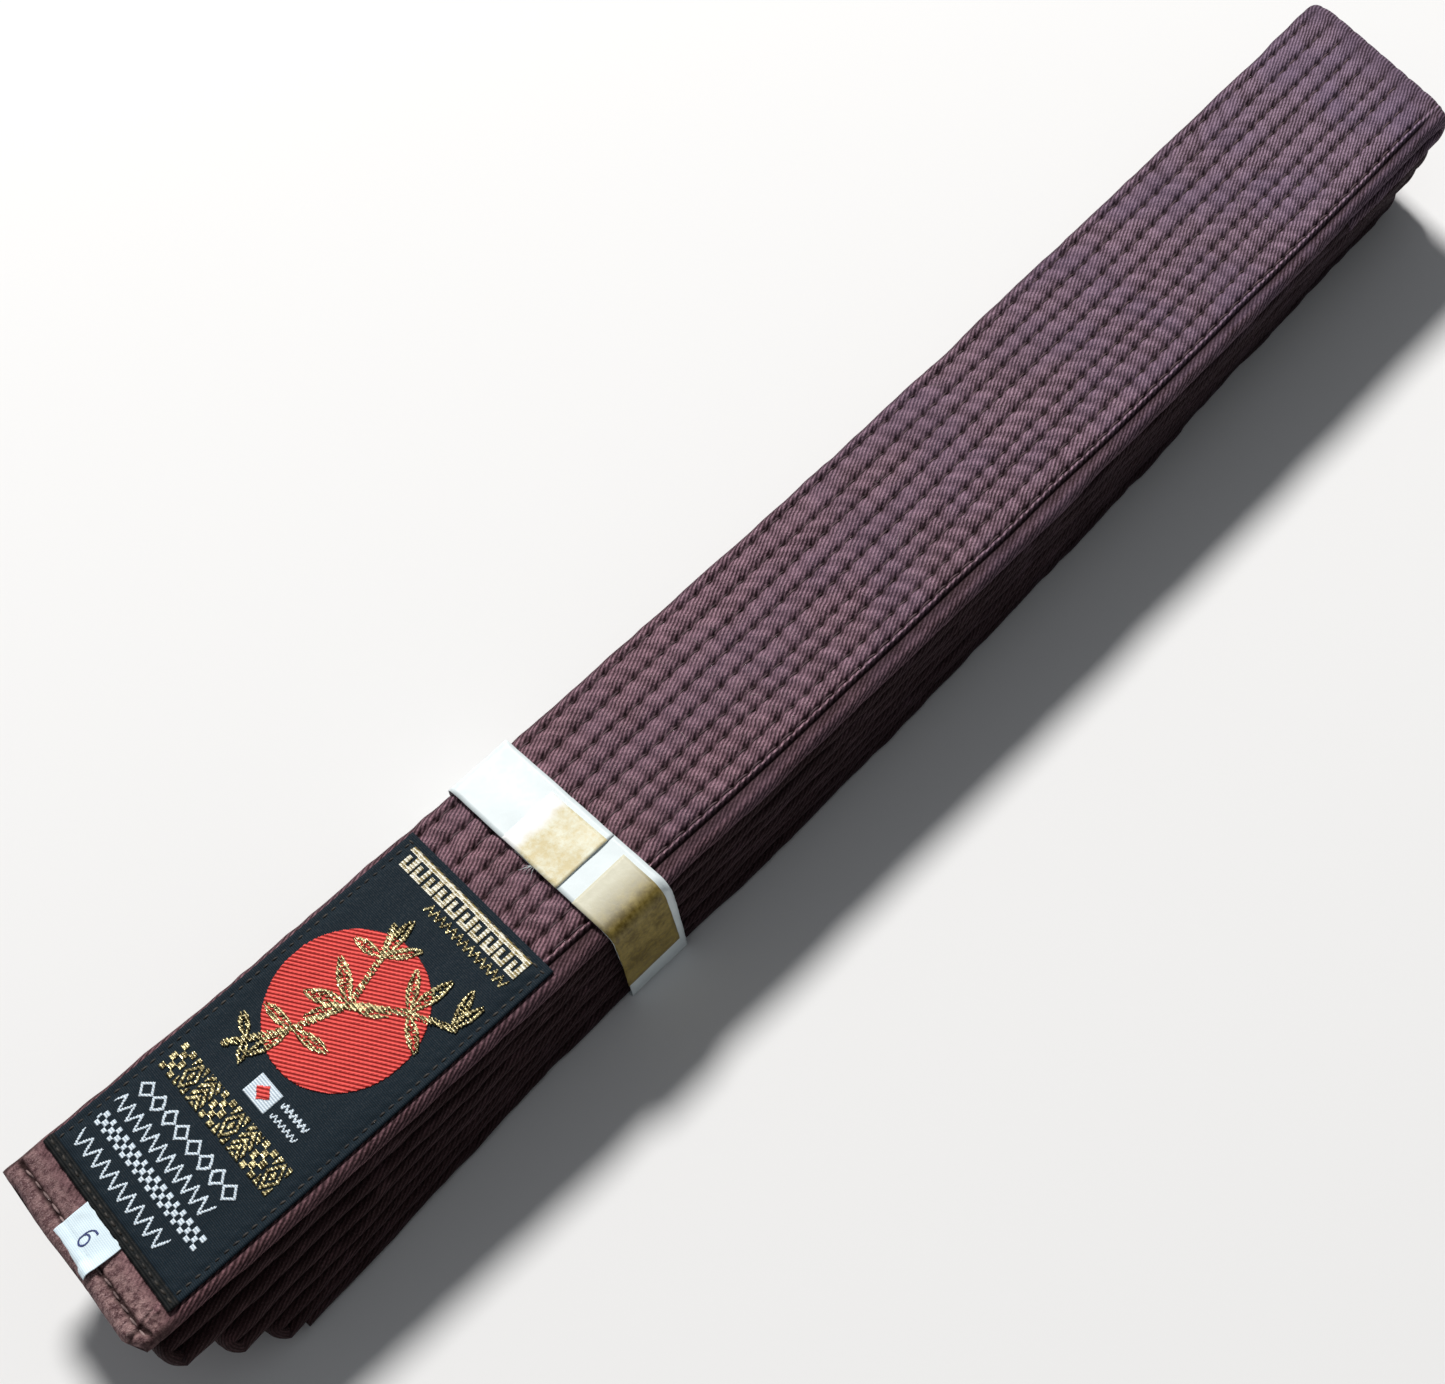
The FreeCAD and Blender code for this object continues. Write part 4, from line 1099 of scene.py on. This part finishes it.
def tag_face(x, y):
    """The tag lies over the roll of the hem and curls a little at its right edge."""
    base = np.maximum(hem(x, y), -0.05) * 0.35 + 0.42
    droop = -0.9 * np.clip((1.3 - x) / 1.3, 0, 1) ** 2
    curl = 0.85 * ease(18.2 - y, 0, 3.2) * ease(6.6 - x, 0.5, 6)
    return base + droop + curl + 0.05 * noise2(x, y, 440, 2.5)


def numeral_mask(x, y):
    """The numeral six, its top towards +x."""
    u, v = (x - 2.6) / 0.8, (20.4 - y) / 0.8
    bowl = np.abs(np.hypot((u - 1.25) / 1.25, v / 0.92) - 1) < 0.17
    sweep = np.abs(np.hypot((u - 1.9) / 2.1, (v - 0.5) / 1.42) - 1) < 0.105
    return bowl | (sweep & (u > 1.3) & (v < 1.1) & ((v < 0.5) | (u > 3.2)))


def make_tag():
    x = np.linspace(0.15, 7.4, 60)
    y = np.linspace(15.2, 25.2, 80)
    ribbon = slab("size_ribbon", x, y, tag_face, lambda gx, gy: tag_face(gx, gy) - 0.16, TAG_CLOTH)
    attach(ribbon, "size_tag")
    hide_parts("size_tag")
    cell = 0.09
    x, y = np.arange(1.8, 6.6, cell), np.arange(18.9, 21.7, cell)
    numeral = slab("size_figure", x, y, lambda gx, gy: tag_face(gx, gy) + 0.05,
                   lambda gx, gy: tag_face(gx, gy) - 0.01, TAG_INK,
                   numeral_mask(*cell_middles(x, y)))
    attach(numeral, "size_tag")
    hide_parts("size_numeral")


# ---- the paper band and its tapes ----

BAND_Y = float(centre_y(100.8))
PAPER_THICK = 0.16
TAPE_LIFT, TAPE_THICK = 0.19, 0.06


def line(y0, z0, y1, z1, steps, bulge=0.0):
    """Points of a straight run in the y-z plane, bulging towards +y."""
    run = np.linspace((y0, z0), (y1, z1), steps)
    run[:, 0] += bulge * np.sin(np.linspace(0, math.pi, steps))
    return run


def arc(mid_y, mid_z, radius_y, radius_z, start, end, steps):
    turn = np.radians(np.linspace(start, end, steps))
    return np.stack([mid_y + radius_y * np.cos(turn), mid_z + radius_z * np.sin(turn)], -1)


def band_path():
    """The paper's run round the stack: from under the lap, right, down, under, left and over."""
    top, right, left, low = TOP_Z + 0.62, -20.95, 20.6, 0.27
    return np.concatenate([
        line(3, top, right + 3.4, top + 0.05, 26),
        arc(right + 2.8, top - 2.8, 2.8, 2.85, 92, 178, 12),
        line(right, top - 3.6, right, low + 2.2, 18, bulge=-0.25),
        arc(right + 1.5, low + 1.5, 1.5, 1.5, 188, 262, 7),
        line(right + 2, low, left - 2, low, 30),
        arc(left - 1.4, low + 1.5, 1.4, 1.5, 278, 352, 7),
        line(left, low + 2.2, left, top - 2.2, 16, bulge=0.25),
        arc(left - 1.8, top - 1.55, 1.8, 1.8, 8, 84, 8),
        line(left - 2.4, top + 0.26, -7.5, top + 0.21, 44)])


def resampled(path, step):
    gone = np.concatenate([[0], np.cumsum(np.hypot(*np.diff(path, axis=0).T))])
    at = np.linspace(0, gone[-1], int(gone[-1] / step) + 1)
    return np.stack([np.interp(at, gone, path[:, 0]), np.interp(at, gone, path[:, 1])], -1), at


def make_strip(name, path, at, x_from, x_to, lift, thick, material, seed):
    """Closed strip of paper along a part of the path, lifted off it by a little."""
    columns = 17
    x = np.linspace(x_from, x_to, columns)
    run = np.gradient(path, axis=0)
    run /= np.maximum(np.hypot(run[:, 0], run[:, 1]), 1e-9)[:, None]
    out_y, out_z = run[:, 1:], -run[:, :1]
    wave = 0.06 * noise2(at[:, None], x[None, :] * 1.5, seed, 6)
    edge = 0.10 * noise(at, seed + 1, 9) + 0.03 * noise(at, seed + 2, 1.5)
    px = x[None, :] + edge[:, None] * np.linspace(1, -1, columns)[None, :]
    layers = [place(px, BAND_Y + path[:, :1] + out_y * (high + wave),
                    path[:, 1:] + out_z * (high + wave)).reshape(-1, 3)
              for high in (lift + thick, lift)]
    faces = slab_faces(np.ones((len(path) - 1, columns - 1), bool))
    uv = np.tile(np.stack(np.broadcast_arrays(x, at[:, None]), -1).reshape(-1, 2) / 1000, (2, 1))
    piece = new_mesh(name, np.concatenate(layers), faces.tolist(), uv[faces], material)
    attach(piece, "band")
    return piece


def make_band():
    path, at = resampled(band_path(), 0.55)
    paper = make_strip("paper_strip", path, at, BAND_NEAR, BAND_FAR, 0.0, PAPER_THICK, PAPER, 500)
    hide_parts("paper_band")
    first, last, lap_from = (int(np.argmin(np.abs(at - a))) for a in (14.5, 42.5, at[-1] - 13.8))
    side = make_strip("tape_over_shoulder", path[first:last], at[first:last] - at[first],
                      BAND_NEAR - 0.1, BAND_FAR - 1.4, TAPE_LIFT, TAPE_THICK, SIDE_TAPE_PAINTED_SHADE, 510)
    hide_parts("tape_side")
    top = make_strip("tape_on_lap", path[lap_from:], at[-1] - at[lap_from:],
                     BAND_NEAR - 0.05, BAND_FAR - 1.5, TAPE_LIFT, TAPE_THICK, LAP_TAPE, 520)
    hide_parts("tape_top")


# ---- loose fibres ----

def fibre(points, radius):
    """Thin tube through points, for one loose fibre."""
    sides = 5
    run = np.gradient(points, axis=0)
    run /= np.linalg.norm(run, axis=1)[:, None]
    side = np.cross(run, [0, 0, 1.0])
    side /= np.maximum(np.linalg.norm(side, axis=1), 1e-9)[:, None]
    up = np.cross(side, run)
    turn = np.linspace(0, math.tau, sides, endpoint=False)
    thin = np.linspace(1, 0.5, len(points))[:, None, None] * radius
    ring = points[:, None] + thin * (side[:, None] * np.cos(turn)[None, :, None]
                                     + up[:, None] * np.sin(turn)[None, :, None])
    faces, corners = ring_faces(len(points), sides)
    uv = np.concatenate([corners * [0.3, 0.1], np.zeros((2 * sides, 2))]) / 1000
    return ring.reshape(-1, 3), faces + end_caps(len(points), sides), uv


def curl(x, y, length, angle, seed):
    """Path of a fibre lying on the top leg."""
    rng = np.random.default_rng(seed)
    t = np.linspace(0, 1, 12)
    heading = math.radians(angle) + rng.uniform(-2.2, 2.2) * t
    x = x + np.cumsum(np.cos(heading)) * length / 12
    y = y + np.cumsum(np.sin(heading)) * length / 12
    lift = 0.05 + rng.uniform(0.05, 0.35) * np.sin(math.pi * t)
    return top_point(x, y, relief(x, y) + lift)


def make_lint():
    """Short fibres on the top leg, and a torn tuft at the paper band's near edge."""
    rng = np.random.default_rng(77)
    loose = []
    for i in range(16):
        x, y = rng.uniform(114, 325), rng.uniform(3, 37)
        path = curl(x, y, rng.uniform(1.5, 4.2), rng.uniform(0, 360), i)
        loose.append(fibre(path, 2.2e-5))
    lint = merged("lint_on_belt", loose, LINT)
    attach(lint, "belt")
    torn = []
    t = np.linspace(0, 1, 9)
    for _ in range(9):
        reach, aside, start = rng.uniform(0.8, 2.4), rng.uniform(-1.4, 1.4), rng.uniform(-0.5, 0.5)
        y = BAND_Y - 1.6 + start + aside * t ** 1.5
        z = TOP_Z + 0.78 - 0.25 * t + 0.3 * np.sin(3 * t)
        torn.append(fibre(place(BAND_NEAR + 0.2 - reach * t, y, z), 3.5e-5))
    fluff = merged("torn_fibres", torn, PAPER)
    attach(fluff, "band")


make_label()
make_tag()
make_band()
make_lint()


# ---- floor, lights and camera ----

def make_floor():
    reach = 3.0
    mesh = bpy.data.meshes.new("floor")
    mesh.from_pydata([(-reach, -reach, 0), (reach, -reach, 0), (reach, reach, 0),
                      (-reach, reach, 0)], [], [(0, 1, 2, 3)])
    paint = Graph("floor_paint", Base_Color=(0.83, 0.83, 0.83, 1), Roughness=0.9,
                  Specular_IOR_Level=0.2)
    mesh.materials.append(paint.material)
    new_object("floor", mesh)


def area_light(name, at, target, size, power, colour):
    data = bpy.data.lights.new(name, "AREA")
    data.shape = "DISK"
    data.size, data.energy, data.color = size, power, colour
    lamp = new_object(name, data)
    lamp.location = at
    lamp.rotation_euler = (Vector(target) - Vector(at)).to_track_quat("-Z", "Y").to_euler()


def make_lights():
    target = (0, 0, 0.02)
    area_light("key", (0.95, 1.75, 2.2), target, 0.6, 112, (1.0, 0.985, 0.965))
    area_light("sky", (-0.5, -0.3, 1.3), target, 1.2, 1.2, (0.92, 0.96, 1.0))
    world = bpy.data.worlds.new("studio")
    world.use_nodes = True
    background = world.node_tree.nodes["Background"]
    background.inputs["Color"].default_value = (0.93, 0.96, 1.0, 1)
    background.inputs["Strength"].default_value = 0.12
    bpy.context.scene.world = world


def make_camera():
    """Hand-held view from above the label end's right side, rolled a little."""
    eye = np.array([34.95, -153.43, 328.29])
    aim = np.array([139.71, -4.83, TOP_Z])
    forward = Vector(aim - eye).normalized()
    right = forward.cross(Vector((0, 0, 1))).normalized()
    up = right.cross(forward)
    roll = math.radians(-11.42)
    right, up = (math.cos(roll) * right + math.sin(roll) * up,
                 -math.sin(roll) * right + math.cos(roll) * up)
    data = bpy.data.cameras.new("camera")
    data.sensor_width = 36.0
    data.lens = 50.58187
    data.clip_start, data.clip_end = 0.01, 20
    camera = new_object("camera", data)
    turn = Matrix((right, up, -forward)).transposed().to_4x4()
    camera.matrix_world = Matrix.Translation(Vector(place(*eye))) @ turn
    bpy.context.scene.camera = camera


make_floor()
make_lights()
make_camera()
bpy.context.scene.view_settings.view_transform = "Standard"
